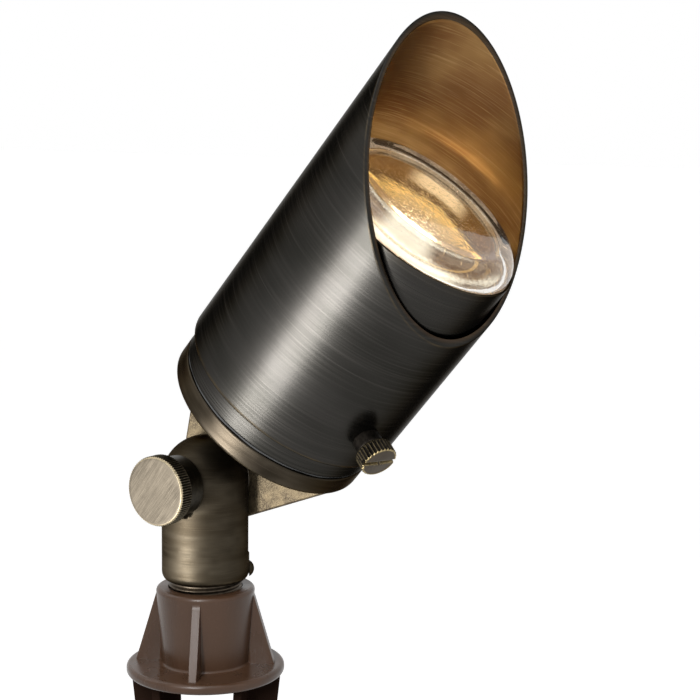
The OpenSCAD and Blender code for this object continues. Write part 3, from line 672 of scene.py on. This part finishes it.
def glare_guard():
    """A slanted tube: a wall profile carried round the head's axis, with its front rows on the slanted plane.

    Place along the axis = (1 - s) * rear + s * front + offset. The front falls evenly from the long side.
    """
    r_in = guard_r - GUARD_WALL
    e = 0.35
    rise = np.linspace(0, 1, 90)
    arc = np.linspace(0, math.pi / 2, 5)
    rows = [(guard_r, s, e * (1 - 2 * s), 0, 0) for s in rise]
    rows += [(guard_r - e + e * math.cos(q), 1, -e + e * math.sin(q), 0, 1) for q in arc[1:]]
    rows += [(r_in + e - e * math.sin(q), 1, -e + e * math.cos(q), 0.15, 1) for q in arc]
    rows += [(r_in, s, e * (1 - 2 * s), 1, 0) for s in rise[::-1]]
    rows += [(r_in + e - e * math.cos(q), 0, e - e * math.sin(q), 0, 1) for q in arc[1:]]
    rows += [(guard_r - e + e * math.sin(q), 0, e - e * math.cos(q), 0, 1) for q in arc[:-1]]
    r, s, offset, inside, wear = np.array(rows).T[..., None]
    q = angles(2 * TURNS)
    front = guard_tip - (guard_tip - guard_rear - GUARD_SHORT) * (guard_r + r * np.cos(q)) / (2 * guard_r)
    z = (1 - s) * guard_rear + s * front + offset
    grid = polar(r, q + GUARD_TURN, z)
    full = np.ones_like(q)
    # The worn line fades in over the last millimetre of the outside
    near = np.clip(1 - np.minimum(z - guard_rear, front - z) / 0.9, 0, 1) * (inside == 0)
    cut = (s > 0.5) * (wear > 0)
    wear = np.where(cut, 0, np.maximum(wear * full, near))
    finish_mesh("glare_guard_tube", *tube(grid, closed=True), in_head, "guard", GUARD_BRONZE, "guard_brass",
                ["glare_guard"], {"inside": inside * full, "wear": wear})


def guard_boss():
    """The threaded boss between the guard and its screw: a turned profile."""
    low, high, recess = guard_r - GUARD_WALL, guard_r + BOSS_H, 2.3
    profile = rounded([(0.2, low, 0), (BOSS_R, low, 0), (BOSS_R, high, 0.4), (recess, high, 0.2),
                       (recess, high - 0.5, 0), (0.2, high - 0.5, 0)])
    finish_mesh("guard_boss_turned", *tube(turned(profile, 64)), on_guard_screw, "guard", GUARD_SCREW_BRASS,
                "guard_screw_brass", ["guard_screw_boss"])


# Knurled screws

def knurled(profile, turns, teeth, depth):
    """A turned profile of rows (r, z, knurl, face, wear). Where knurl is 1 the radius drops into V-grooves:
    r - depth * |cos(teeth * angle / 2)| ** 1.6, so that the teeth have narrow crests."""
    r, z, knurl, face, wear = np.array(profile, dtype=float).T[..., None]
    q = angles(turns)
    groove = np.abs(np.cos(teeth * q / 2)) ** 1.6
    radius = r - depth * knurl * groove
    grid = polar(radius, q, z)
    full = np.ones_like(q)
    crest = np.clip((1 - groove) * 1.6 - 0.9, 0, 1) * knurl
    return grid, face * full, np.maximum(wear * full, crest * 0.5)


def head_profile(d, h, out, bevel, knurl_rows=8):
    """Rows of a knurled head seen from its bare face at z = out, towards +Z, ending at its back's edge."""
    r = d / 2
    face_r = r - 1.3 * bevel
    rows = [(face_r * k / 12, out, 0, 1, 0) for k in range(1, 12)]
    rows += [(face_r - 0.06, out, 0, 1, 0), (face_r, out + 0.01, 0, 1, 0.6),
             (face_r + 0.12, out + 0.06, 0, 0.8, 1), (r - 0.12, out + bevel - 0.1, 0.35, 0, 1),
             (r, out + bevel + 0.02, 0.8, 0, 0.8)]
    rows += [(r, out + bevel + 0.1 + (h - 2 * bevel - 0.2) * k / knurl_rows, 1, 0, 0)
             for k in range(knurl_rows + 1)]
    rows += [(r - 0.1, out + h - bevel + 0.08, 0.7, 0, 0.3), (r - bevel, out + h - 0.02, 0, 0, 0)]
    return rows


def tilt_screw():
    """The tilt thumb screw: knurled head, smooth shoulder and shank, with a helical thread past the nut."""
    out, h, d, teeth = -22.2, 4.6, 19.4, 84
    rows = head_profile(d, h, out, 0.45)
    shoulder_r, thread_low, end = 8.4, NUT_LOW - 0.25, NUT_LOW + NUT_H + THREAD_PITCH
    shoulder = rounded([(9.0, out + h, 0), (shoulder_r, out + h, 0.1), (shoulder_r, SHOULDER_Y, 0.3),
                        (SHANK_R, SHOULDER_Y, 0.1), (SHANK_R, thread_low - 0.1, 0)])
    rows += [(r, z, 0, 0, 0) for r, z in resample(shoulder, 2.0)]
    rows += [(SHANK_R, z, 0, 0, 0) for z in np.arange(thread_low + 0.1, end, 0.1)]
    rows += [(2.5, end + 0.05, 0, 0, 0), (1.2, end + 0.06, 0, 0, 0)]
    grid, face, wear = knurled(rows, teeth * 8, teeth, 0.35)
    # Thread: a ridge that climbs one pitch a turn
    climb = np.abs((grid[..., 2] / THREAD_PITCH - angles_of(grid) / (2 * math.pi)) % 1 - 0.5) * 2
    threaded = np.clip((grid[..., 2] - thread_low) * 4, 0, 1) * (radii(grid) > 2.4)
    grid[..., :2] *= (1 - threaded * climb * 0.13)[..., None]
    finish_mesh("tilt_screw_knurled", *tube(grid), along_tilt, "tilt_screw", THUMB_BRASS, "screw_brass",
                ["tilt_thumb_screw"], {"face": np.append(face, 1), "wear": wear})


def lock_nut():
    """A hexagon nut: radius = apothem / cos(angle from the nearest flat), chamfered at both ends."""
    flat, h = 5.0, NUT_H
    q = angles(6 * 32)
    hexagon = flat / np.cos((q + math.pi / 6) % (math.pi / 3) - math.pi / 6)
    z = np.array([0, 0.08, 0.2, 0.35, 0.5, 1.2, 2.0, 2.7, 2.85, 3.0, 3.12, 3.2])[:, None]
    chamfer = 4.75 + np.minimum(z, h - z) * 1.9
    outer = np.minimum(hexagon, chamfer)
    hole = np.full_like(hexagon, SHANK_R + 0.05)
    radius = np.concatenate([hole[None], outer, hole[None], hole[None]])
    height = np.concatenate([[[0.0]], z, [[h]], [[h * 0.5]]]) + NUT_LOW
    grid = polar(radius, q, height)
    wear = np.clip((radius - 5.35) * 2, 0, 1)
    finish_mesh("lock_nut_hexagon", *tube(grid, closed=True), along_tilt, "head", KNUCKLE_BRASS,
                "screw_brass", ["tilt_lock_nut"], {"wear": wear})


def guard_screw():
    """The guard's knurled screw: teeth as above, with a driver slot pressed down across its face."""
    tip, back = 30.3, guard_r + BOSS_H + 0.3
    h, d, bevel = 4.6, 10.1, 0.45
    shank = [(r, z, 0, 0, 0) for r, z in ((1.2, tip), (2.0, tip + 0.5), (2.0, back - 0.05), (2.3, back))]
    rows = [(r, 2 * back + h - z, k, f, w) for r, z, k, f, w in head_profile(d, h, back, bevel, 12)][::-1]
    inner = [(rows[-1][0] * k / 30, back + h, 0, 1, 0) for k in range(29, 0, -1)]
    teeth = 30
    grid, face, wear = knurled(shank + rows + inner, teeth * 16, teeth, 0.5)
    # The face is slightly domed
    z = grid[..., 2]
    top = z > back + h - 0.05
    z -= np.where(top, 0.25 * (radii(grid) / 5) ** 2, 0)
    turn, half_slot, slot_depth = math.radians(104), 0.5, 1.2
    across = np.abs(-grid[..., 0] * math.sin(turn) + grid[..., 1] * math.cos(turn))
    floor = back + h - slot_depth + np.clip(across - half_slot, 0, None) * 18
    deep = z - floor > 0.05
    z[...] = np.where(z > back + 1, np.minimum(z, floor), z)
    face, wear = np.where(deep, 0, face), np.where(deep, 0, wear)
    wear = np.maximum(wear, np.where((across > half_slot) & (across < 0.65) & top, 0.8, 0))
    finish_mesh("guard_screw_knurled", *tube(grid), on_guard_screw, "guard_screw", GUARD_SCREW_BRASS,
                "guard_screw_brass", ["guard_thumb_screw"], {"face": face, "wear": wear})


# Head

def housing():
    """Thick collar and slimmer tube, with the lens's counterbore, as one closed turned profile."""
    tube_r, bore_r, seat = collar_r - 0.6, collar_r - 1.2, lens_back - 0.8
    collar_front, cap_end = collar_rear + COLLAR_LEN, collar_rear + SPIGOT_LEN
    corners = [(CAP_BORE_R, collar_rear, 0.1), (collar_r, collar_rear, 0.45), (collar_r, collar_front, 0.4),
               (tube_r, collar_front, 0.1), (tube_r, housing_front, 0.25), (bore_r, housing_front, 0.2),
               (bore_r, seat, 0.1), (LAMP_BORE_R, seat, 0.2), (LAMP_BORE_R, cap_end + 2, 0.1),
               (CAP_BORE_R, cap_end, 0.1)]
    grid = turned(resample(rounded(corners, closed=True), 3.0), 2 * TURNS)
    wear = np.clip(1 - (housing_front - grid[..., 2]) / 0.45, 0, 1) * 0.6
    inside = (radii(grid) < bore_r + 0.05) & (grid[..., 2] < housing_front - 0.3)
    finish_mesh("housing_turned", *tube(grid, closed=True), in_head, "head", BRONZE, "housing_brass",
                ["housing_body"], {"wear": wear, "inside": inside * 1.0})


def gasket():
    """The cap's gasket: a ring whose edge swells and dips a little."""
    r = collar_r - 0.5
    profile = rounded([(GASKET_IN_R, cap_front, 0.1), (r, cap_front, 0.25), (r, collar_rear, 0.25),
                       (GASKET_IN_R, collar_rear, 0.1)], closed=True)
    grid = turned(profile)
    q = angles_of(grid)
    swell = 1 + 0.0035 * (np.sin(7 * q) * np.sin(3 * q + 1) + 0.6 * np.sin(17 * q + 2))
    grid[..., :2] *= swell[..., None]
    finish_mesh("gasket_ring", *tube(grid, closed=True), in_head, "head", RUBBER, "rubber_black",
                ["cap_gasket"])


def rear_cap():
    """The turned cap with its spigot and the bracket's two bosses."""
    floor, spigot_end = CAP_BACK + CAP_FLOOR, cap_front + SPIGOT_LEN
    spigot_r, spigot_in = 25.64, 22.04
    boss_r, boss_off = 3.0, 13.0
    bracket_back, _, _ = head_span("holder_bracket")
    profile = rounded([(0.3, CAP_BACK, 0), (collar_r, CAP_BACK, 1.1), (collar_r, cap_front, 0.4),
                       (spigot_r, cap_front, 0.1), (spigot_r, spigot_end, 0.3), (spigot_in, spigot_end, 0.3),
                       (spigot_in, floor, 0.5), (0.3, floor, 0)])
    grid = turned(resample(profile, 3.0), 2 * TURNS)
    rim = np.clip((radii(grid) - collar_r + 0.9) / 0.5, 0, 1)
    wear = rim * np.clip(1 - (grid[..., 2] - CAP_BACK) / 0.9, 0, 1)
    boss = turned(rounded([(0.2, floor - 0.5, 0), (boss_r, floor - 0.5, 0), (boss_r, bracket_back, 0.2),
                           (0.2, bracket_back, 0)]), 48)
    bosses = [tube(boss + np.array([0, side * boss_off, 0])) for side in (-1, 1)]
    finish_mesh("rear_cap_turned", *join(tube(grid), *bosses), in_head, "head", CAP_BRASS, "cap_brass",
                ["rear_cap"], {"wear": wear})


def fin_outline(steps=40):
    """The fin's convex outline: an arc about the pivot, two flared sides and the cap's edge."""
    q = np.linspace(math.pi + FIN_FLARE, 2 * math.pi - FIN_FLARE, steps)
    eye = np.stack([FIN_EYE_R * np.cos(q), FIN_EYE_R * np.sin(q)], axis=1)
    top, reach = CAP_BACK + 1.1, collar_r - 1.1
    side_z = eye[-1, 1] + (reach - eye[-1, 0]) / math.tan(FIN_FLARE)
    corners = [eye[-1], [reach, side_z], [reach, top], [-reach, top], [-reach, side_z], eye[0]]
    sides = resample(np.array(corners), 1.2)
    return np.concatenate([eye, sides[1:-1]])


def fin():
    """The cast fin: its outline carried across its thickness, drawn in along its normals so that both edges
    are rounded, and roughened by a sum of sines like a sand casting."""
    path = fin_outline()
    ahead = np.roll(path, -1, axis=0) - np.roll(path, 1, axis=0)
    normal = np.stack([ahead[:, 1], -ahead[:, 0]], axis=1)
    normal /= np.linalg.norm(normal, axis=1, keepdims=True)
    e = 0.9
    q = np.linspace(0, math.pi / 2, 6)
    inset = np.concatenate([e * (1 - np.sin(q)), e * (1 - np.cos(q))])
    y = np.concatenate([-FIN_T / 2 + e * (1 - np.cos(q)), FIN_T / 2 - e * (1 - np.sin(q))])
    mid = np.array([0.0, 9.0])
    share = np.linspace(0.04, 0.97, 22)
    edge_in = path - normal * e
    flat = [mid + (edge_in - mid) * s for s in share]
    rings = np.array(flat + [path - normal * a for a in inset] + flat[::-1])
    heights = np.concatenate([np.full(len(share), -FIN_T / 2), y, np.full(len(share), FIN_T / 2)])[:, None]
    grid = np.stack([rings[..., 0], np.broadcast_to(heights, rings.shape[:2]), rings[..., 1]], axis=-1)
    x, z = grid[..., 0], grid[..., 2]
    rough = np.sin(1.9 * x + 0.7 * z) * np.sin(1.3 * z - 0.5 * x + 1) + 0.6 * np.sin(3.1 * x - 2.3 * z + 2)
    face = np.sign(grid[..., 1]) * (np.abs(grid[..., 1]) > FIN_T / 2 - 0.02)
    # The machined seat about the pivot stays smooth
    grid[..., 1] -= face * np.abs(rough * 0.045) * (np.hypot(x, z) >= 12.8)
    finish_mesh("fin_cast", *tube(grid), in_head, "head", CAST_BRASS, "cap_brass", ["rear_cap"])


def lens():
    """Recess and ring at the back, upright rim, a wide rounded shoulder and a slight crown."""
    front, crown, bend = lens_front - 0.6, 0.6, 6.5
    recess = lens_r - 5
    corners = [(0.4, lens_back + 3, 0), (recess - 0.4, lens_back + 3, 0.8), (recess, lens_back, 0.6),
               (lens_r, lens_back, 0.4), (lens_r, front, bend), (lens_r - bend - 2, front + 0.02, 0)]
    profile = resample(rounded(corners, steps=14), 1.2)
    flat_r = profile[-1, 0]
    k = np.linspace(1, 0.03, 20)[1:]
    dome = np.stack([flat_r * k, front + 0.02 + crown * (1 - k ** 2)], axis=1)
    grid = turned(np.concatenate([profile, dome]), 2 * TURNS)
    q = angles_of(grid)
    # Hot glass never presses quite true
    out = radii(grid) / lens_r
    grid[..., 2] += 0.05 * out ** 3 * np.sin(3 * q + 0.6) * np.sin(5 * q) * (grid[..., 2] > lens_back + 4)
    rows, cols, _ = grid.shape
    r, z = radii(grid)[:, 0], grid[:, 0, 2]
    seat = (z < housing_front - 0.1).astype(int) * 2
    back = (r < recess + 0.05) & (z < lens_back + 3.1)
    finish = np.where(back, 1, seat)[:-1]
    finish_of_face = np.concatenate([np.repeat(finish, cols), np.ones(cols), np.zeros(cols)])
    finish_mesh("lens_pressed", *tube(grid), in_head, "head", [GLASS, PEBBLED_PAINTED_GLOW, GROUND_PAINTED_GLOW], "lens_glass",
                ["lens"], finish_of_face=finish_of_face)


def reflector():
    """The lamp's bowl: radius = neck + (mouth - neck) * sqrt(depth share), its inside pressed into facets."""
    neck, mouth, wall, hole = 9.5, lamp_r, 1.6, 4.9
    depth = lamp_front - lamp_back
    s = np.linspace(0, 1, 60) ** 2
    out_r, out_z = neck + (mouth - neck) * np.sqrt(s), lamp_back + depth * s
    s_in = np.linspace(1, 0.22, 70) ** 2
    in_r, in_z = neck + (mouth - neck) * np.sqrt(s_in) - wall, lamp_back + depth * s_in
    r = np.concatenate([[hole], out_r, in_r, [hole]])[:, None]
    z = np.concatenate([[lamp_back], out_z, in_z, [lamp_back + wall]])[:, None]
    q = angles(2 * TURNS)
    inner = np.zeros(len(r))
    inner[1 + len(out_r):-1] = 1
    # Rings of six rows, each half a facet further round than the one before
    ring = (np.cumsum(inner) / 6.0)[:, None]
    facet = np.abs(np.sin(math.pi * ring)) * np.abs(np.sin(18 * q + math.pi / 2 * (np.floor(ring) % 2)))
    radius = r + inner[:, None] * (facet - 0.5) * 0.35
    grid = polar(radius, q, z)
    finish_mesh("reflector_faceted", *tube(grid, closed=True), in_head, "head", MIRROR_PAINTED_GLOW, "lamp_mirror",
                ["lamp_reflector"])


# Knuckle

def smooth_min(a, b, k):
    """The smaller of two arrays, blended over a width k."""
    h = np.clip(0.5 + 0.5 * (b - a) / k, 0, 1)
    return b * (1 - h) + a * h - k * h * (1 - h)


def knuckle():
    """A polar height field: at each height the radius is the smallest of the turned outline, the half lap's
    flat and the spot face under the tilt screw."""
    r0 = KNUCKLE_R
    foot = [(10.6, FOOT_Z + 6, 0), (10.6, FOOT_Z, 0.2), (r0 - 1.5, FOOT_Z, 0.2)]
    bend = np.linspace(0, math.pi / 2, 9)
    outline = [*rounded(foot)]
    outline += [(r0 - 1.5 * (1 - math.sin(q)), FOOT_Z + 2.4 * (1 - math.cos(q))) for q in bend]
    slope_end = -LAP_DEPTH - (r0 - LAP_Y) * math.tan(LAP_FALL)
    for first, last, steps in ((FOOT_Z + 2.8, slope_end - 0.4, 8), (slope_end - 0.3, -LAP_DEPTH + 0.5, 26),
                               (-LAP_DEPTH + 0.8, 0, 36)):
        outline += [(r0, z) for z in np.linspace(first, last, steps)]
    outline += [(r0 * math.cos(q), r0 * math.sin(q)) for q in np.linspace(0.02, math.pi / 2 - 0.02, 52)]
    r, z = np.array(outline).T[..., None]
    q = angles(480)
    s, c = np.sin(q), np.cos(q)
    shoulder = LAP_Y + np.clip(-LAP_DEPTH - z, 0, None) / math.tan(LAP_FALL)
    lap = np.where(s > 0.02, shoulder / np.maximum(s, 0.02), 99)
    spot_room = np.clip(np.hypot(r * c, z) - 8.7, 0, None) * 8
    spot = np.where(s < -0.5, (-SHOULDER_Y + spot_room) / np.maximum(-s, 0.5), 99)
    outer = (z > FOOT_Z + 1) & (r > 10.7 * (z < 0))
    radius = np.where(outer, smooth_min(smooth_min(r + 0 * s, lap, 0.35), spot, 0.12), r + 0 * s)
    grid = polar(radius, q, z)
    foot_wear = np.clip(1 - np.abs(z - FOOT_Z - 0.6) / 0.8, 0, 1) * (r > 10.7) * np.ones_like(s)
    lap_edge = np.clip(1 - np.abs(radius - lap) * 1.4, 0, 1) * np.clip(1 - np.abs(radius - r) * 1.4, 0, 1)
    wear = np.maximum(foot_wear * 0.5, lap_edge * outer * 0.8)
    finish_mesh("knuckle_machined", *tube(grid), at_pivot, "knuckle", KNUCKLE_BRASS, "knuckle_brass",
                ["knuckle_stem"], {"wear": wear})


def nipple():
    """The pipe nipple: radius = crest less depth times a trapezoid wave that climbs one pitch a turn."""
    low, high = node_box_mm("threaded_nipple")
    bottom, top, crest, depth, pitch, bore = low[2], high[2], high[0], 0.7, 1.814, 7.0
    z = np.linspace(bottom, top, 220)[:, None]
    q = angles(128)
    wave = np.abs((z / pitch - q / (2 * math.pi)) % 1 - 0.5) * 2
    cut = np.clip((wave - 0.2) / 0.6, 0, 1)
    fade = np.clip(np.minimum(z - bottom, top - z) / 0.8, 0, 1)
    outer = crest - depth * (1 - fade * (1 - cut))
    wall = np.concatenate([outer, np.full((2, len(q)), bore)])
    grid = polar(wall, q, np.concatenate([z, [[top], [bottom]]]))
    finish_mesh("nipple_threaded", *tube(grid, closed=True), lambda p: p * MM, "stake", NIPPLE_BRASS,
                "nipple_brass", ["threaded_nipple"])


# Stake

def smooth_max(a, b, k):
    """The larger of two arrays, blended over a width k."""
    return -smooth_min(-a, -b, k)


def stake_hub():
    """Hub, flange and gussets in one skin: a closed profile turned about Z, whose outer wall takes at each
    angle the larger of the hub's radius and the gusset's, smin(reach / cos, half thickness / |sin|)."""
    hub, foot_r, flange_r, flange_h, rim = 14.1, 12.5, 22.5, 3.0, 1.2
    high, gusset_top, reach, half_t = hub_top, hub_top - 2.4, 20.0, 1.2
    corners = [(7.0, 0, 0.2), (flange_r, 0, rim), (flange_r, flange_h, rim), (foot_r, flange_h, 0.8),
               (hub, high, rim), (10.46, high, 0.3), (10.46, high - 17, 0.1), (7.0, high - 17, 0.1)]
    profile = resample(rounded(corners, closed=True, steps=8), 0.7)
    # Angles round one quarter, close together on the gusset's sides
    side = np.arcsin(half_t / np.arange(21.2, 12.4, -0.4))
    front = np.linspace(0, side[0], 7)[:-1]
    rest = np.linspace(side[-1], math.pi / 4, 18)[1:]
    half = np.concatenate([front, side, rest])
    quarter = np.unique(np.concatenate([-half[-2::-1], [0.0], half[1:-1]]))
    q = np.concatenate([quarter + k * math.pi / 2 for k in range(4)])
    r, z = profile[:, 0, None], profile[:, 1, None]
    local = (q + math.pi / 4) % (math.pi / 2) - math.pi / 4
    share = np.clip((z - flange_h) / (gusset_top - flange_h), 0, 1)
    face = (reach + (hub - reach) * share) / np.cos(local)
    flank = half_t / np.maximum(np.abs(np.sin(local)), 1e-4)
    gusset = smooth_min(face, flank, 1.6)
    outer = (z > flange_h - 0.01) & (z < gusset_top) & (r > 11)
    on_flange = (np.abs(z - flange_h) < 0.01) & (r > 11)
    radius = np.where(outer, smooth_max(r, gusset, 0.5), r + 0 * q)
    radius = np.where(on_flange, np.maximum(r, np.minimum(gusset, flange_r - rim)), radius)
    return tube(polar(radius, q, z), closed=True)


def stake_blade(z, centre_x, half_x, half_y, fillet=0.45):
    """A tapering bar of the spike, down from the soil: a rounded rectangle of changing half widths."""
    x, y = rounded_loop(half_x[::-1], half_y[::-1], fillet)
    z = np.broadcast_to(z[::-1, None], x.shape)
    return tube(np.stack([x + centre_x[::-1, None], y, z], axis=-1))


def ground_stake():
    """The hub's skin, two legs round the cable window, two cross plates and the lower blade."""
    t, depth, window = 1.2, -spike_tip, 46.0
    half_w, plate_off, plate_reach = 21.6, 11.7, 14.2
    down = np.linspace(0.4, -window, 24)
    leg = half_w * (depth + down) / depth
    gap_top, gap_low = 11.1, plate_off * (depth - window) / depth - t
    gap = gap_top + (gap_low - gap_top) * (-down) / window
    legs = [stake_blade(down, side * (leg + gap) / 2, (leg - gap) / 2, np.full_like(down, t))
            for side in (-1, 1)]
    low = np.linspace(-window, -depth, 40)
    width = t + (half_w - t) * (depth + low) / depth
    blade = stake_blade(low, 0 * low, width, np.minimum(t, 0.35 + (depth + low) * 0.2))
    plate_down = np.linspace(0.4, -depth + 3, 60)
    share = (depth + plate_down) / depth
    centre = plate_off * share + t * (1 - share)
    reach = plate_reach * share + t * (1 - share)
    plates = [stake_blade(plate_down, side * centre, t * (0.5 + 0.5 * np.sqrt(share)), reach)
              for side in (-1, 1)]
    finish_mesh("stake_moulded", *join(stake_hub(), *legs, blade, *plates), on_soil, "stake", PLASTIC,
                "stake_plastic", ["ground_stake"])


# Pieces that stay as packed, with their finishes

KEPT = {
    "set_screw": KNUCKLE_BRASS, "friction_washer": FIBRE, "supply_leads": LEAD_COVER, "guard_o_ring": RUBBER,
    "lens_gasket": RUBBER, "lamp_cover": LIT_PANE, "lamp_capsule": CAPSULE_GLOW, "lamp_base": CERAMIC,
    "lamp_pins": STEEL, "lamp_holder": CERAMIC, "holder_bracket": STEEL, "holder_screws": STEEL,
    "holder_leads": LEAD_COVER, "wire_grommet": RUBBER}


def dress_kept():
    for node, mat in KEPT.items():
        for one in frame["nodes"][node].material_slots:
            one.material = mat


# Studio

CAMERA_AT = (0.294843, -0.371623, 0.157700)
CAMERA_TURN = (82.2316, -0.6429, 33.6327)
CAMERA_LENS = 87.73
SUBJECT = Vector((0.045, 0.0, 0.100))
KEY_AZIMUTH = -106.5
KEY_ELEVATION = -21
KEY_DISTANCE = 1.6


def camera():
    data = bpy.data.cameras.new("camera")
    data.lens = CAMERA_LENS
    data.sensor_width = 36
    data.clip_start = 0.01
    obj = in_scene("camera", data)
    obj.location = CAMERA_AT
    obj.rotation_euler = [math.radians(a) for a in CAMERA_TURN]
    bpy.context.scene.camera = obj


def softbox(name, azimuth, elevation, distance, width, height, radiance):
    """An area lamp seen from the subject at an azimuth and elevation. Power = radiance * area * pi."""
    a, e = math.radians(azimuth), math.radians(elevation)
    out = Vector((math.cos(e) * math.cos(a), math.cos(e) * math.sin(a), math.sin(e)))
    data = bpy.data.lights.new(name, "AREA")
    data.shape = "RECTANGLE"
    data.size, data.size_y = width, height
    data.energy = radiance * width * height * math.pi
    obj = in_scene(name, data)
    obj.location = SUBJECT + out * distance
    obj.rotation_euler = (-out).to_track_quat("-Z", "Y").to_euler()
    return obj


def lamp_light(name, kind, power, height):
    """The lit lamp's own light in the guard: a disk that faces the mouth, or a ball above the lens."""
    data = bpy.data.lights.new(name, kind)
    if kind == "AREA":
        data.shape = "DISK"
        data.size = 0.036
    else:
        data.shadow_soft_size = 0.008
    data.energy = power
    data.color = (1.0, 0.70, 0.38)
    obj = in_scene(name, data)
    at = in_head(np.array([0.0, 0.0, lens_front + height]))
    turn = Matrix((HEAD_X, HEAD_Y, HEAD_Z)).transposed() @ Matrix.Rotation(math.pi, 3, "X")
    obj.matrix_world = Matrix.Translation(at.tolist()) @ turn.to_4x4()
    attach(obj, "head")
    obj.visible_camera = obj.visible_glossy = obj.visible_transmission = False


def link_stake(lamps, name, state):
    """Makes lamps light the stake alone (INCLUDE) or all but the stake (EXCLUDE)."""
    group = bpy.data.collections.new(name)
    group.objects.link(bpy.data.objects["stake_moulded"])
    group.collection_objects[0].light_linking.link_state = state
    for lamp in lamps:
        lamp.light_linking.receiver_collection = group


def seen_white(nodes):
    """1 for rays from the camera and for those that metal and glass send on."""
    path = nodes.add("LightPath").node.outputs
    most = nodes.math("MAXIMUM", path["Is Camera Ray"], path["Is Glossy Ray"])
    return nodes.math("MAXIMUM", most, path["Is Transmission Ray"])


def studio():
    world = bpy.data.worlds.new("studio")
    bpy.context.scene.world = world
    world.use_nodes = True
    nodes = Nodes(world.node_tree)
    back = nodes.tree.nodes["Background"].inputs
    nodes.put(back["Color"], (1, 1, 1))
    nodes.put(back["Strength"], nodes.add("MapRange", {
        "Value": seen_white(nodes), "To Min": 0.45, "To Max": 1.0}))

    size, z = 12.0, spike_tip * MM
    q = np.linspace(-size, size, 3)
    x, y = np.meshgrid(q, q, indexing="ij")
    grid = np.stack([x, y, np.full_like(x, z)], axis=-1)
    mesh = bpy.data.meshes.new("floor")
    mesh.from_pydata(grid.reshape(-1, 3).tolist(), [], grid_faces(3, 3, wrap_cols=False))
    floor = in_scene("floor", mesh)
    f = Finish("floor_white")
    mesh.materials.append(f.shade({
        "Base Color": (0.9, 0.9, 0.9), "Roughness": 0.8, "Emission Color": (1, 1, 1),
        "Emission Strength": f.times(seen_white(f), 0.55)}))
    # The key light comes from below the soil's level
    floor.visible_shadow = False

    key = []
    for name, radiance, *spreads in (
            ("key_core", 120, 8, 20), ("key_middle", 8, 20, 26), ("key_wide", 0.8, 40, 40)):
        width, height = (2 * KEY_DISTANCE * math.tan(math.radians(spread / 2)) for spread in spreads)
        key.append(softbox(name, KEY_AZIMUTH, KEY_ELEVATION, KEY_DISTANCE, width, height, radiance))
    softbox("left_light", -160, 40, 0.8, 0.35, 0.5, 1.1)
    softbox("top_light", -60, 65, 0.9, 0.6, 0.6, 1.6)
    softbox("right_light", -10, 20, 0.9, 0.3, 0.5, 0.35)
    stake_lamp = softbox("stake_light", -74, 30, KEY_DISTANCE, 0.14, 0.9, 62.0)
    link_stake(key, "stake_out_of_key", "EXCLUDE")
    link_stake([stake_lamp], "stake_only", "INCLUDE")


for build in (camera, glare_guard, guard_boss, tilt_screw, lock_nut, guard_screw, housing, gasket, rear_cap,
              fin, lens, reflector, knuckle, nipple, ground_stake, dress_kept, studio):
    build()
lamp_light("beam_light", "AREA", 0.07, 0.4)
lamp_light("glow_light", "POINT", 0.15, 6.0)

bpy.context.scene.view_settings.view_transform = "Standard"
